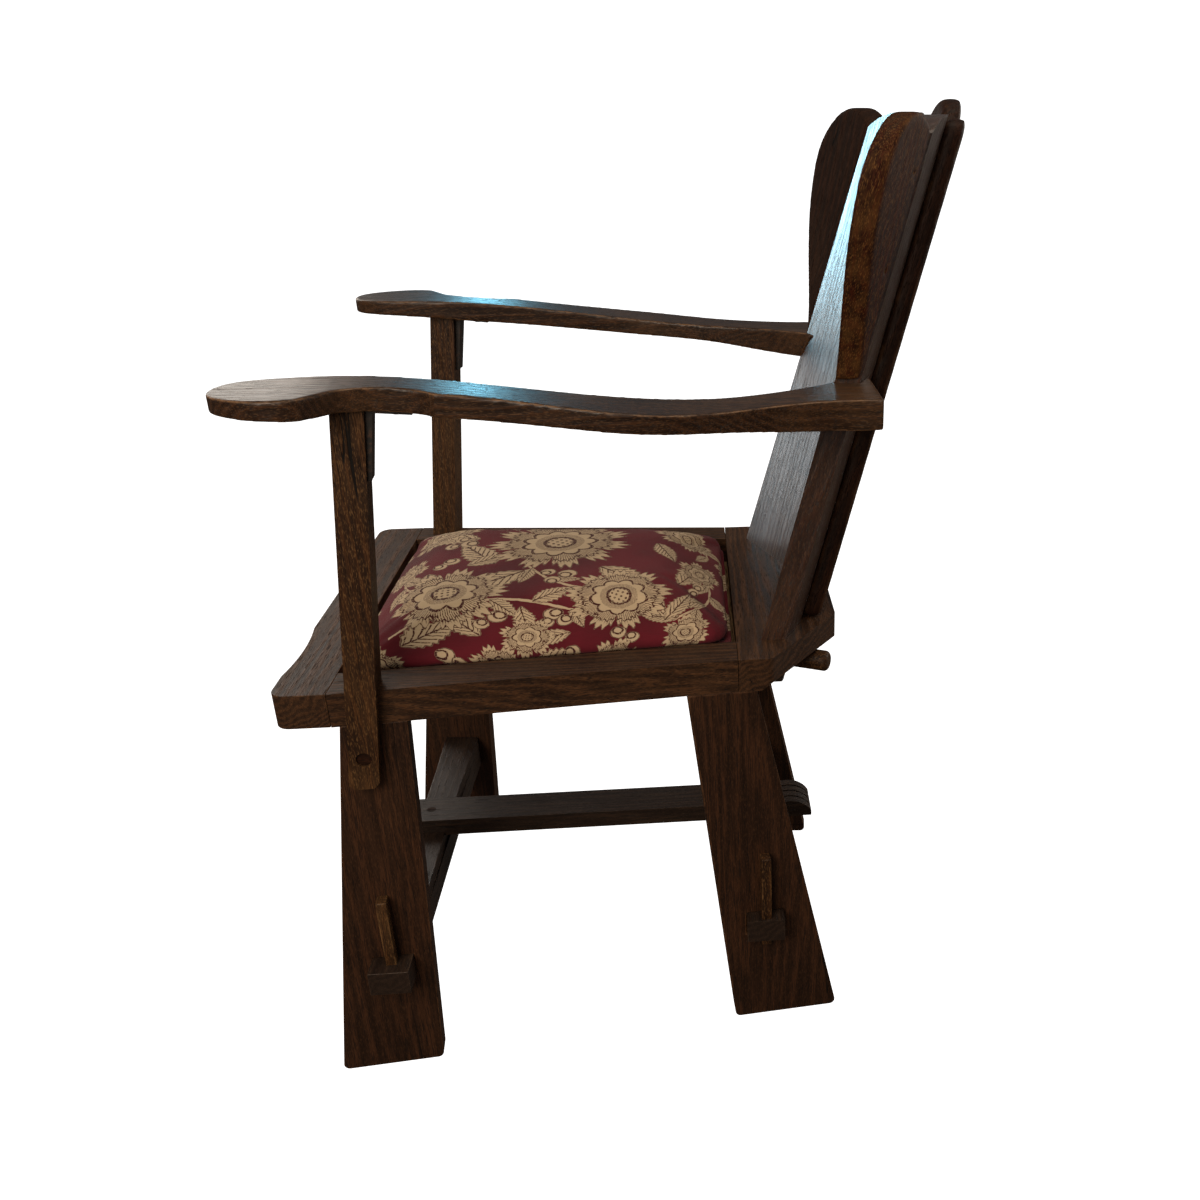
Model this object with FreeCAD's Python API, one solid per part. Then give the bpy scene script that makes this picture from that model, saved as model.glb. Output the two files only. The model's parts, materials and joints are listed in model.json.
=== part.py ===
import FreeCAD, Part
import math
import os

# A rustic oak armchair: slab legs, a wedged trestle underframe, a drop-in
# upholstered seat and a scalloped back of three lapped boards and two wings.
# Millimetres. +X is the sitter's left, the chair faces -Y, +Z is up.
# The origin is on the floor, under the middle of the chair's overall box.

V = FreeCAD.Vector

# Seat frame
seat_height = 434.0
seat_thickness = 33.5
front_edge_y = -320.0
front_rail_depth = 50.0
seam_front_half_width = 215.0
seam_rear_half_width = 182.0
seat_side_length = 368.0
side_rail_width = 41.0
rear_rail_depth = 104.0
rear_corner_length = 32.0
rear_flat_half_width = 84.0
front_corner_radius = 14.0
rear_corner_radius = 9.0
rear_rail_chamfer = 8.0
front_hollow_depth = 4.5
front_hollow_centre = 122.0
front_hollow_half_length = 52.0

# Dowels that close the seat frame
dowel_radius = 5.0
dowel_half_length = 20.0
dowel_inset = 21.5
dowel_spacing = 13.0

# Slab legs, a front and a rear template
leg_thickness = 20.0
foot_corner_radius = 6.0
front_leg_top_y = -264.0
front_leg_top_width = 59.0
front_leg_splay = 57.0
front_leg_foot_width = 100.0
rear_leg_top_y = 116.0
rear_leg_top_width = 67.0
rear_leg_splay = 82.0
rear_leg_foot_width = 111.0
leg_tenon_width = 28.0
leg_tenon_thickness = 10.0
leg_tenon_length = 16.0

# Arm posts, notched over the side rail and lapped onto the front leg
post_width = 26.5
post_foot_y = -262.0
post_foot_height = 340.0
post_head_y = -225.5
post_lap = 12.0
post_seat_depth = 22.0
post_head_depth = 14.0
post_foot_chamfer = 5.0
post_tenon_width = 14.0
post_tenon_depth = 12.0
peg_radius = 7.0
peg_length = 26.0
peg_recess = 2.0
peg_height = 371.0

# Arms
arm_thickness = 20.0
arm_tip_thickness = 14.5
arm_rear_thickness = 27.0
arm_waist_thickness = 16.5
arm_front_z = 711.0
arm_rear_z = 681.0
arm_fall_start_y = -235.0
arm_fall_end_y = 110.0
arm_waist_y = 62.0
arm_swell_end_y = 185.0
arm_tip_y = -309.0
arm_tip_x = 236.0
arm_paddle_outer = 264.0
arm_paddle_inner = 188.0
arm_paddle_y = -270.0
arm_notch_front_y = -233.0
arm_notch_depth_y = -213.0
arm_notch_rear_y = -168.0
arm_notch_outer = 235.0
arm_neck_outer = 221.5
arm_shoulder_outer = 232.0
arm_shoulder_y = -138.0
arm_bow_outer = 236.0
arm_bow_y = 40.0
arm_rear_outer = 188.0
arm_neck_inner = 182.0
arm_bow_inner = 178.0
arm_heel_y = 186.0
arm_end_y = 229.0
arm_hook_x = 98.0

# Iron angles under the arms, with their screws
bracket_thickness = 3.5
bracket_width = 17.0
bracket_drop = 60.0
bracket_reach = 34.0
screw_radius = 2.2
screw_length = 14.0
screw_head_radius = 4.4
screw_head_height = 2.2
bracket_screw_margin = 12.0

# Back boards
board_thickness = 22.0
centre_board_thickness = 21.0
back_lean_share = 0.287
board_inward_share = -0.08
side_board_turn = 23.7
board_front_x = 141.0
board_front_y = 122.5
board_joint_x = 56.0
centre_board_y = 165.0
centre_half_width = 96.0
centre_head_half_width = 60.0
valley_height = 891.0
board_lobe_rise = 14.0
centre_lobe_rise = 27.0
shoulder_lobe_rise = 11.0
centre_lobe_half_width = 34.0
back_peg_radius = 4.0
back_peg_bite = 9.0
back_peg_count = 4
back_peg_rise = 66.0
back_peg_drop = 41.0
back_peg_inset = 18.0

# Wings on the front edges of the side boards, above the arms
wing_turn = 35.0
wing_foot_height = 684.0
wing_belly_height = 850.0
wing_head_height = 884.0
wing_peak_height = 908.5
wing_foot_reach = 5.0
wing_mid_reach = 31.0
wing_belly_reach = 68.0
wing_head_reach = 66.0
wing_peak_reach = 38.0
wing_lobe_reach = 13.0
wing_lobe_height = 901.0
wing_mid_height = 745.0
wing_dowel_radius = 3.0
wing_dowel_bite = 12.0
wing_dowel_drop = 31.0
wing_dowel_spacing = 80.0

# Tenons of the side boards through the rear rail, and the keys that lock them
back_tenon_width = 34.0
back_tenon_offset = 58.0
back_tenon_drop = 30.0
key_radius = 10.5
key_inner_length = 26.0
key_outer_length = 54.0
key_nose = 5.0
key_bed = 4.0

# Cross stretchers with tusk tenons
cross_top_height = 150.0
cross_thickness = 40.0
cross_width = 42.0
cross_waist = 34.0
front_cross_y = -252.5
rear_cross_y = 120.0
tusk_width = 39.0
tusk_thickness = 26.0
tusk_shoulder = 12.0
front_tusk_projection = 25.0
rear_tusk_projection = 16.0
wedge_width = 10.0
wedge_head_depth = 13.0
wedge_foot_depth = 9.0
wedge_above = 74.0
wedge_below = 11.0
wedge_bow = 3.0

# Centre stretcher with a carved four-reed toe at each end
centre_half = 23.0
centre_thickness = 20.0
centre_housing = 3.0
toe_overhang = 44.0
toe_length = 30.0
toe_nose_height = 6.0
toe_mid_share = 0.26
toe_fall_share = 0.36
reed_count = 4
reed_gap = 2.4
reed_depth = 3.0
reed_run = 48.0
stretcher_peg_radius = 5.0

# Reeded bearer under the front joint
bearer_half_length = 198.0
bearer_front_y = -303.0
bearer_width = 33.0
bearer_depth = 8.0
bearer_reeds = 5
bearer_groove = 1.8
bearer_groove_depth = 1.6

# Ledges that carry the drop-in seat, and their screws
ledge_width = 14.0
ledge_height = 9.0
ledge_end_gap = 22.0
ledge_screw_inset = 50.0

# Drop-in seat
pad_clearance = 4.0
pad_rest_gap = 0.3
pad_rail_height = 12.0
pad_rail_width = 44.0
pad_recess = 6.0
pad_crown = 41.0
pad_skirt_height = 10.0
pad_skirt_inset = 3.0
pad_corner_radius = 20.0
pad_crown_inset = 104.0
pad_fullness_share = 0.96
pad_levels = 6
web_width = 50.0
web_thickness = 2.0
web_count = 3
web_overlap = 24.0
tack_radius = 4.0
tack_height = 1.4
tack_count = 6
tack_inset = 30.0

cut_over = 5.0

# Places that follow from the sizes above
tiny = seat_thickness / 200
seat_under = seat_height - seat_thickness
seam_front_y = front_edge_y + front_rail_depth
seam_rear_y = seam_front_y + seat_side_length
rear_edge_y = seam_rear_y + rear_rail_depth
side_slope = (seam_rear_half_width - seam_front_half_width) / seat_side_length
side_turn = math.atan(side_slope)
board_turn = math.radians(side_board_turn)
board_depth = board_thickness / math.cos(board_turn)
centre_board_depth = centre_board_thickness / math.cos(math.atan(back_lean_share))
crest_height = valley_height + centre_lobe_rise + cut_over
tenon_high = cross_top_height - tusk_shoulder
tenon_low = tenon_high - tusk_thickness

along_x = V(1, 0, 0)
along_y = V(0, 1, 0)
up = V(0, 0, 1)
made = {}


# Small helpers for making and placing solids
def mirrored(shape):
    return shape.mirror(V(0, 0, 0), along_x)


def polygon_face(corners):
    return Part.Face(Part.makePolygon(corners + [corners[0]]))


def flat_prism(points, low, high):
    return polygon_face([V(x, y, low) for x, y in points]).extrude(V(0, 0, high - low))


def side_prism(points, x_from, x_to):
    return polygon_face([V(x_from, y, z) for y, z in points]).extrude(V(x_to - x_from, 0, 0))


def front_prism(points, y_from, y_to):
    return polygon_face([V(x, y_from, z) for x, z in points]).extrude(V(0, y_to - y_from, 0))


def box(x_from, x_to, y_from, y_to, z_from, z_to):
    return Part.makeBox(x_to - x_from, y_to - y_from, z_to - z_from, V(x_from, y_from, z_from))


def rod(radius, start, direction, length):
    return Part.makeCylinder(radius, length, start, direction)


def arc(first, middle, last):
    return Part.Arc(first, middle, last).toShape()


def line(first, last):
    return Part.makeLine(first, last)


def smooth(points):
    curve = Part.BSplineCurve()
    curve.interpolate(points)
    return curve.toShape()


def between(low, high, share):
    return low + (high - low) * share


def one_solid(shape):
    return max(shape.Solids, key=lambda solid: solid.Volume)


def node(name, *shapes):
    solids = [solid for shape in shapes for solid in shape.Solids]
    made[name] = solids[0] if len(solids) == 1 else Part.makeCompound(solids)


def both_sides(name, shape):
    node(name + "_left", shape)
    node(name + "_right", mirrored(shape))


# The outer side of the seat frame, which the legs and the posts share
def side_x(y):
    return seam_front_half_width + side_slope * (y - seam_front_y)


def on_side(shape):
    shape.rotate(V(0, 0, 0), up, -math.degrees(side_turn))
    shape.translate(V(side_x(0), 0, 0))
    return shape


def along_side(y):
    return y / math.cos(side_turn)


# Seat frame
def make_front_rail():
    end = seam_front_half_width
    front = front_edge_y
    round_off = front_corner_radius
    turn = round_off * (1 - math.sqrt(0.5))
    inner = front_hollow_centre - front_hollow_half_length
    outer = front_hollow_centre + front_hollow_half_length
    dip = front + front_hollow_depth
    rounded = front + round_off
    low = seat_under
    half = [
        line(V(0, front, low), V(inner, front, low)),
        arc(V(inner, front, low), V(front_hollow_centre, dip, low), V(outer, front, low)),
        line(V(outer, front, low), V(end - round_off, front, low)),
        arc(V(end - round_off, front, low), V(end - turn, front + turn, low), V(end, rounded, low)),
        line(V(end, rounded, low), V(end, seam_front_y, low)),
        line(V(end, seam_front_y, low), V(0, seam_front_y, low)),
        line(V(0, seam_front_y, low), V(0, front, low)),
    ]
    side = Part.Face(Part.Wire(half)).extrude(V(0, 0, seat_thickness))
    return side.fuse(mirrored(side)).removeSplitter()


def make_side_rail():
    points = [
        (seam_front_half_width - side_rail_width, seam_front_y),
        (seam_front_half_width, seam_front_y),
        (seam_rear_half_width, seam_rear_y),
        (seam_rear_half_width - side_rail_width, seam_rear_y),
    ]
    return flat_prism(points, seat_under, seat_height)


def make_rear_rail():
    corner_y = seam_rear_y + rear_corner_length
    points = [
        (-seam_rear_half_width, seam_rear_y),
        (seam_rear_half_width, seam_rear_y),
        (seam_rear_half_width, corner_y),
        (rear_flat_half_width, rear_edge_y),
        (-rear_flat_half_width, rear_edge_y),
        (-seam_rear_half_width, corner_y),
    ]
    rail = flat_prism(points, seat_under, seat_height)
    lowest = [
        edge
        for edge in rail.Edges
        if edge.BoundBox.ZMax < seat_under + tiny and edge.BoundBox.YMax > corner_y + tiny
    ]
    rail = rail.makeChamfer(rear_rail_chamfer, lowest)
    corners = [
        edge
        for edge in rail.Edges
        if edge.BoundBox.ZLength > seat_thickness / 2 and edge.Vertexes[0].Y > seam_rear_y + tiny
    ]
    return rail.makeFillet(rear_corner_radius, corners)


def make_frame_dowels():
    dowels = []
    for seam_y in (seam_front_y, seam_rear_y):
        for place in (dowel_inset, dowel_inset + dowel_spacing):
            x = side_x(seam_y) - place
            start = V(x, seam_y - dowel_half_length, between(seat_under, seat_height, 0.5))
            dowel = rod(dowel_radius, start, along_y, 2 * dowel_half_length)
            dowels += [dowel, mirrored(dowel)]
    return dowels


# Legs
def make_leg(top_front, top_rear, foot_front, foot_rear):
    points = [(foot_front, 0), (foot_rear, 0), (top_rear, seat_under), (top_front, seat_under)]
    leg = side_prism(points, -leg_thickness, 0)
    corners = [
        edge for edge in leg.Edges if edge.BoundBox.ZMax < tiny and edge.BoundBox.YLength < tiny
    ]
    return on_side(leg.makeFillet(foot_corner_radius, corners))


def make_leg_tenon(middle_y):
    inner = -(leg_thickness + leg_tenon_thickness) / 2
    tenon = box(
        inner,
        inner + leg_tenon_thickness,
        middle_y - leg_tenon_width / 2,
        middle_y + leg_tenon_width / 2,
        seat_under - cut_over,
        seat_under + leg_tenon_length,
    )
    return on_side(tenon)


# Cross stretchers, their tusk tenons and the wedges that draw them tight
def make_cross_body(y):
    end = side_x(y) - leg_thickness / 2
    low = cross_top_height - cross_thickness
    front, rear = y - cross_width / 2, y + cross_width / 2
    edges = [
        line(V(-end, rear, low), V(-end, front, low)),
        arc(V(-end, front, low), V(0, y - cross_waist / 2, low), V(end, front, low)),
        line(V(end, front, low), V(end, rear, low)),
        arc(V(end, rear, low), V(0, y + cross_waist / 2, low), V(-end, rear, low)),
    ]
    return Part.Face(Part.Wire(edges)).extrude(V(0, 0, cross_thickness))


def make_tusk(y, projection):
    reach = side_x(y) + projection
    return box(-reach, reach, y - tusk_width / 2, y + tusk_width / 2, tenon_low, tenon_high)


def make_wedge(y):
    foot, head = tenon_low - wedge_below, tenon_high + wedge_above
    middle = between(foot, head, 0.5)
    start = along_side(y) - wedge_width / 2
    edges = [
        line(V(0, start, head), V(0, start, foot)),
        line(V(0, start, foot), V(wedge_foot_depth, start, foot)),
        arc(
            V(wedge_foot_depth, start, foot),
            V(between(wedge_foot_depth, wedge_head_depth, 0.5) + wedge_bow, start, middle),
            V(wedge_head_depth, start, head),
        ),
        line(V(wedge_head_depth, start, head), V(0, start, head)),
    ]
    return on_side(Part.Face(Part.Wire(edges)).extrude(V(0, wedge_width, 0)))


# Centre stretcher: its top falls in a quarter round to each nose
def centre_profile(inset):
    low = cross_top_height - centre_housing
    high = low + centre_thickness - inset
    nose = low + toe_nose_height
    front = front_cross_y - cross_width / 2 - toe_overhang + inset
    rear = rear_cross_y + cross_width / 2 + toe_overhang - inset
    fall = between(high, nose, toe_fall_share)
    mid = toe_length * toe_mid_share
    edges = [
        line(V(0, front, low), V(0, rear, low)),
        line(V(0, rear, low), V(0, rear, nose)),
        arc(V(0, rear, nose), V(0, rear - mid, fall), V(0, rear - toe_length, high)),
        line(V(0, rear - toe_length, high), V(0, front + toe_length, high)),
        arc(V(0, front + toe_length, high), V(0, front + mid, fall), V(0, front, nose)),
        line(V(0, front, nose), V(0, front, low)),
    ]
    return Part.Face(Part.Wire(edges))


def make_centre_stretcher():
    body = centre_profile(0).extrude(V(2 * centre_half, 0, 0))
    body.translate(V(-centre_half, 0, 0))
    box_of = body.BoundBox
    pitch = 2 * centre_half / reed_count
    for step in range(1, reed_count):
        x = -centre_half + step * pitch - reed_gap / 2
        outer = centre_profile(0).extrude(V(reed_gap, 0, 0))
        groove = outer.cut(centre_profile(reed_depth).extrude(V(reed_gap, 0, 0)))
        groove.translate(V(x, 0, 0))
        for start in (box_of.YMin - cut_over, box_of.YMax - reed_run):
            end = box(
                x - cut_over,
                x + reed_gap + cut_over,
                start,
                start + reed_run + cut_over,
                box_of.ZMin - cut_over,
                box_of.ZMax + cut_over,
            )
            body = body.cut(groove.common(end))
    return one_solid(body)


def make_stretcher_peg(y):
    start = V(0, y, cross_top_height - cross_thickness)
    return rod(stretcher_peg_radius, start, up, cross_thickness + centre_thickness - centre_housing)


# Reeded bearer
def make_bearer():
    rear = bearer_front_y + bearer_width
    low = seat_under - bearer_depth
    bearer = box(-bearer_half_length, bearer_half_length, bearer_front_y, rear, low, seat_under)
    pitch = bearer_width / bearer_reeds
    for step in range(1, bearer_reeds):
        y = bearer_front_y + step * pitch
        groove = box(
            -bearer_half_length - cut_over,
            bearer_half_length + cut_over,
            y - bearer_groove / 2,
            y + bearer_groove / 2,
            low - cut_over,
            low + bearer_groove_depth,
        )
        bearer = bearer.cut(groove)
    return one_solid(bearer)


# Back boards: every level section is the same plan, moved back and inwards
def lean(from_z, to_z, inward_share):
    rise = to_z - from_z
    return V(inward_share * rise, back_lean_share * rise, rise)


def board_x(z):
    return board_front_x + board_inward_share * (z - seat_height)


def joint_x(z):
    return board_joint_x + board_inward_share * (z - seat_height)


def side_board_plan(from_x, to_x, low):
    shift = lean(seat_height, low, board_inward_share)
    slope = math.tan(board_turn)
    inner_from = board_front_y + (board_front_x - from_x) * slope
    inner_to = board_front_y + (board_front_x - to_x) * slope
    corners = [(from_x, inner_from), (to_x, inner_to)]
    if inner_to + board_depth > centre_board_y:
        meet_x = board_front_x - (centre_board_y - board_front_y - board_depth) / slope
        corners += [(to_x, centre_board_y), (meet_x, centre_board_y)]
    else:
        corners += [(to_x, inner_to + board_depth)]
    corners += [(from_x, inner_from + board_depth)]
    return polygon_face([V(x + shift.x, y + shift.y, low) for x, y in corners])


def lobe(left, right, base, rise):
    middle = between(left, right, 0.5)
    edges = [
        line(V(left, 0, base), V(right, 0, base)),
        arc(V(right, 0, base), V(middle, 0, base + rise), V(left, 0, base)),
    ]
    depth = rear_edge_y + crest_height
    return Part.Face(Part.Wire(edges)).extrude(V(0, depth, 0))


def below_valley():
    reach = 2 * seam_front_half_width
    return box(-reach, reach, 0, rear_edge_y + crest_height, 0, valley_height)


def make_side_board():
    plan = side_board_plan(board_front_x, board_joint_x, seat_height)
    board = plan.extrude(lean(seat_height, crest_height, board_inward_share))
    top = lobe(joint_x(valley_height), board_x(valley_height), valley_height, board_lobe_rise)
    return one_solid(board.common(below_valley().fuse(top)))


def make_back_tenon():
    start_x = board_front_x - back_tenon_offset * math.cos(board_turn)
    half = back_tenon_width * math.cos(board_turn) / 2
    low = seat_under - back_tenon_drop
    plan = side_board_plan(start_x + half, start_x - half, low)
    return plan.extrude(lean(low, seat_height + cut_over, board_inward_share))


def make_key():
    turn = V(math.sin(board_turn), math.cos(board_turn), 0)
    x = board_front_x - back_tenon_offset * math.cos(board_turn)
    y = board_front_y + back_tenon_offset * math.sin(board_turn)
    middle = V(x, y, seat_under - key_radius + key_bed) + turn * (board_thickness / 2)
    middle.y = middle.y - back_lean_share * (seat_thickness + key_radius)
    start = middle - turn * key_inner_length
    length = key_inner_length + key_outer_length
    key = rod(key_radius, start, turn, length)
    ends = [edge for edge in key.Edges if isinstance(edge.Curve, Part.Circle)]
    return key.makeFillet(key_nose, ends)


def make_centre_board():
    low, rear = seat_height, centre_board_y + centre_board_depth
    half = centre_half_width
    corners = [(-half, centre_board_y), (half, centre_board_y), (half, rear), (-half, rear)]
    face = polygon_face([V(x, y, low) for x, y in corners])
    board = face.extrude(lean(low, crest_height, 0))
    head = centre_head_half_width
    sides = front_prism(
        [(-half, low), (half, low), (head, valley_height), (-head, valley_height)],
        0,
        rear_edge_y + crest_height,
    )
    peak_half = centre_lobe_half_width
    peak = lobe(-peak_half, peak_half, valley_height, centre_lobe_rise)
    shoulder = lobe(peak_half, head, valley_height, shoulder_lobe_rise)
    outline = sides.fuse(peak).fuse(shoulder).fuse(mirrored(shoulder))
    return one_solid(board.common(outline.removeSplitter()))


def make_back_peg(z):
    x = joint_x(z) + back_peg_inset
    front = centre_board_y + back_lean_share * (z - seat_height)
    start = V(x, front - back_peg_bite, z)
    return rod(back_peg_radius, start, along_y, back_peg_bite + centre_board_depth)


# Wings
def wing_point(z, reach):
    return V(board_x(z) + reach * math.cos(math.radians(wing_turn)), 0, z)


def make_wing():
    low = wing_foot_height
    turn = math.radians(wing_turn)
    reach = wing_belly_reach + wing_foot_reach
    x, y = board_x(low), board_front_y + back_lean_share * (low - seat_height)
    tip_x, tip_y = x + reach * math.cos(turn), y - reach * math.sin(turn)
    corners = [(x, y), (tip_x, tip_y), (tip_x, tip_y + board_depth), (x, y + board_depth)]
    face = polygon_face([V(px, py, low) for px, py in corners])
    slab = face.extrude(lean(low, crest_height, board_inward_share))
    rim = [
        wing_point(low, wing_foot_reach),
        wing_point(wing_mid_height, wing_mid_reach),
        wing_point(wing_belly_height, wing_belly_reach),
        wing_point(wing_head_height, wing_head_reach),
        wing_point(wing_peak_height, wing_peak_reach),
        wing_point(wing_lobe_height, wing_lobe_reach),
        wing_point(valley_height, 0),
    ]
    inner_foot = wing_point(low, 0)
    back_x = V(inner_foot.x - 2 * board_thickness, 0, inner_foot.z)
    edges = [
        smooth(rim),
        line(rim[-1], V(back_x.x, 0, valley_height)),
        line(V(back_x.x, 0, valley_height), back_x),
        line(back_x, rim[0]),
    ]
    outline = Part.Face(Part.Wire(edges)).extrude(V(0, rear_edge_y + crest_height, 0))
    return one_solid(slab.common(outline))


def make_wing_dowel(z):
    lean_back = back_lean_share * (z - seat_height)
    start = V(board_x(z) - wing_dowel_bite, board_front_y + lean_back + board_depth / 2, z)
    return rod(wing_dowel_radius, start, along_x, 2 * wing_dowel_bite)


# Arms
def eased(y, start, end):
    share = min(max((y - start) / (end - start), 0), 1)
    return share * share * (3 - 2 * share)


def arm_top(y):
    return between(arm_front_z, arm_rear_z, eased(y, arm_fall_start_y, arm_fall_end_y))


def arm_under(y):
    thinner = between(arm_thickness, arm_waist_thickness, eased(y, arm_notch_rear_y, arm_waist_y))
    swelling = (arm_rear_thickness - arm_waist_thickness) * eased(y, arm_waist_y, arm_swell_end_y)
    tapering = (arm_thickness - arm_tip_thickness) * (1 - eased(y, arm_tip_y, arm_notch_rear_y))
    return arm_top(y) - thinner - swelling + tapering


def make_arm():
    low = arm_rear_z - 2 * arm_rear_thickness
    hook_y = between(arm_heel_y, arm_end_y, 0.5)
    plan = [
        smooth(
            [
                V(arm_paddle_outer, arm_notch_front_y, low),
                V(arm_paddle_outer, between(arm_notch_front_y, arm_tip_y, 0.6), low),
                V(arm_tip_x, arm_tip_y, low),
                V(between(arm_paddle_inner, arm_tip_x, 0.3), between(arm_tip_y, arm_paddle_y, 0.15), low),
                V(arm_paddle_inner, arm_paddle_y, low),
                V(arm_neck_inner, arm_notch_rear_y, low),
                V(arm_bow_inner, arm_bow_y, low),
                V(board_x(arm_rear_z), arm_heel_y, low),
            ]
        ),
        line(V(board_x(arm_rear_z), arm_heel_y, low), V(arm_hook_x, hook_y, low)),
        line(V(arm_hook_x, hook_y, low), V(arm_hook_x, arm_end_y, low)),
        line(V(arm_hook_x, arm_end_y, low), V(arm_rear_outer, arm_end_y, low)),
        smooth(
            [
                V(arm_rear_outer, arm_end_y, low),
                V(between(arm_rear_outer, arm_bow_outer, 0.3), arm_fall_end_y + arm_thickness, low),
                V(arm_bow_outer, arm_bow_y, low),
                V(between(arm_shoulder_outer, arm_bow_outer, 0.1), arm_shoulder_y / 2, low),
                V(arm_shoulder_outer, arm_shoulder_y, low),
            ]
        ),
        smooth(
            [
                V(arm_shoulder_outer, arm_shoulder_y, low),
                V(arm_neck_outer, arm_notch_rear_y, low),
                V(arm_notch_outer, arm_notch_depth_y, low),
            ]
        ),
        line(V(arm_notch_outer, arm_notch_depth_y, low), V(arm_paddle_outer, arm_notch_front_y, low)),
    ]
    blank = Part.Face(Part.Wire(plan)).extrude(V(0, 0, arm_front_z + arm_thickness - low))
    start, end = arm_tip_y - cut_over, arm_end_y + cut_over
    stations = [between(start, end, step / 12) for step in range(13)]
    tops = [V(0, y, arm_top(y)) for y in stations]
    unders = [V(0, y, arm_under(y)) for y in reversed(stations)]
    edges = [smooth(tops), line(tops[-1], unders[0]), smooth(unders), line(unders[-1], tops[0])]
    band = Part.Face(Part.Wire(edges)).extrude(V(2 * arm_paddle_outer, 0, 0))
    return one_solid(blank.common(band))


# Posts
def post_front(z):
    share = (z - post_foot_height) / (arm_front_z - arm_thickness - post_foot_height)
    return between(post_foot_y, post_head_y, share)


def make_post():
    foot, head = post_foot_height, arm_front_z - arm_thickness / 2
    face = [
        (post_front(foot) + post_foot_chamfer, foot),
        (post_front(foot) + post_width - post_foot_chamfer, foot),
        (post_front(foot) + post_width, foot + post_foot_chamfer),
        (post_front(head) + post_width, head),
        (post_front(head), head),
        (post_front(foot), foot + post_foot_chamfer),
    ]
    section = [
        (0, foot - cut_over),
        (post_lap, foot - cut_over),
        (post_lap, head + cut_over),
        (-post_head_depth, head + cut_over),
        (-post_seat_depth, seat_height),
        (0, seat_height),
    ]
    reach = abs(front_edge_y)
    broad = side_prism(face, -leg_thickness * 2, leg_thickness * 2)
    return on_side(broad.common(front_prism(section, -reach, 0)))


def make_post_tenon():
    y = post_front(arm_front_z) + post_width / 2
    low = arm_under(y) - cut_over
    high = arm_top(y) - cut_over
    half = post_tenon_width / 2
    depth = post_tenon_depth / 2
    return on_side(box(-depth, depth, y - half, y + half, low, high))


def make_post_peg():
    y = post_front(peg_height) + post_width / 2
    end = post_lap - peg_recess
    return on_side(rod(peg_radius, V(end - peg_length, y, peg_height), along_x, peg_length))


def make_peg_hole():
    y = post_front(peg_height) + post_width / 2
    start = V(post_lap - peg_length - peg_recess, y, peg_height)
    return on_side(rod(peg_radius, start, along_x, peg_length + peg_recess + cut_over))


# Iron angles and screws
def make_bracket():
    rear = post_front(arm_front_z) + post_width
    head = arm_under(rear)
    foot = head - bracket_drop
    foot_rear = post_front(foot) + post_width
    far = rear + bracket_reach
    points = [
        (foot_rear, foot),
        (foot_rear + bracket_thickness, foot),
        (rear + bracket_thickness, head - bracket_thickness),
        (far, arm_under(far) - bracket_thickness),
        (far, head + bracket_thickness),
        (post_front(head + bracket_thickness) + post_width, head + bracket_thickness),
    ]
    return on_side(side_prism(points, -bracket_width / 2, bracket_width / 2))


def screw(head_centre, direction):
    along = V(direction)
    along.normalize()
    head = rod(screw_head_radius, head_centre, along, screw_head_height)
    shank = rod(screw_radius, head_centre, along, screw_length)
    return head.fuse(shank).removeSplitter()


def bracket_screws():
    rear = post_front(arm_front_z) + post_width
    head = arm_under(rear)
    low = head - bracket_drop + bracket_screw_margin
    high = head - 2 * bracket_screw_margin
    face_y = post_width + bracket_thickness - screw_head_height / 2
    screws = [screw(V(0, post_front(z) + face_y, z), V(0, -1, 0)) for z in (low, high)]
    far = rear + bracket_reach - bracket_screw_margin
    start = V(0, far, arm_under(far) - bracket_thickness - screw_head_height / 2)
    screws.append(screw(start, V(0, 0, 1)))
    return [on_side(item) for item in screws]


def hook_screw():
    x = between(arm_hook_x, board_x(arm_rear_z), 0.6)
    z = arm_rear_z - arm_rear_thickness / 2
    return screw(V(x, arm_end_y - screw_head_height, z), V(0, -1, 0))


# Ledges and their screws
def inner_side_x(y):
    return side_x(y) - side_rail_width


def ledge_top():
    return seat_height - pad_recess - pad_rail_height - web_thickness - pad_rest_gap


def make_side_ledge():
    front, rear = seam_front_y + ledge_end_gap, seam_rear_y - ledge_end_gap
    points = [
        (inner_side_x(front), front),
        (inner_side_x(rear), rear),
        (inner_side_x(rear) - ledge_width, rear),
        (inner_side_x(front) - ledge_width, front),
    ]
    return flat_prism(points, ledge_top() - ledge_height, ledge_top())


def make_end_ledge(y, facing):
    half = inner_side_x(y) - ledge_end_gap
    far = y + facing * ledge_width
    return box(-half, half, min(y, far), max(y, far), ledge_top() - ledge_height, ledge_top())


def ledge_screws():
    z = ledge_top() - ledge_height / 2
    screws = []
    for y in (seam_front_y + ledge_screw_inset, seam_rear_y - ledge_screw_inset):
        start = V(inner_side_x(y) - ledge_width, y, z)
        item = screw(start, along_x)
        screws += [item, mirrored(item)]
    for y, facing in ((seam_front_y, 1), (seam_rear_y, -1)):
        x = inner_side_x(y) - ledge_screw_inset
        item = screw(V(x, y + facing * ledge_width, z), V(0, -facing, 0))
        screws += [item, mirrored(item)]
    return screws


# Drop-in seat
def pad_half(y, inset):
    return inner_side_x(y) - pad_clearance - inset


def pad_front():
    return seam_front_y + pad_clearance


def pad_rear():
    return seam_rear_y - pad_clearance


def pad_rail_low():
    return ledge_top() + pad_rest_gap


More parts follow.
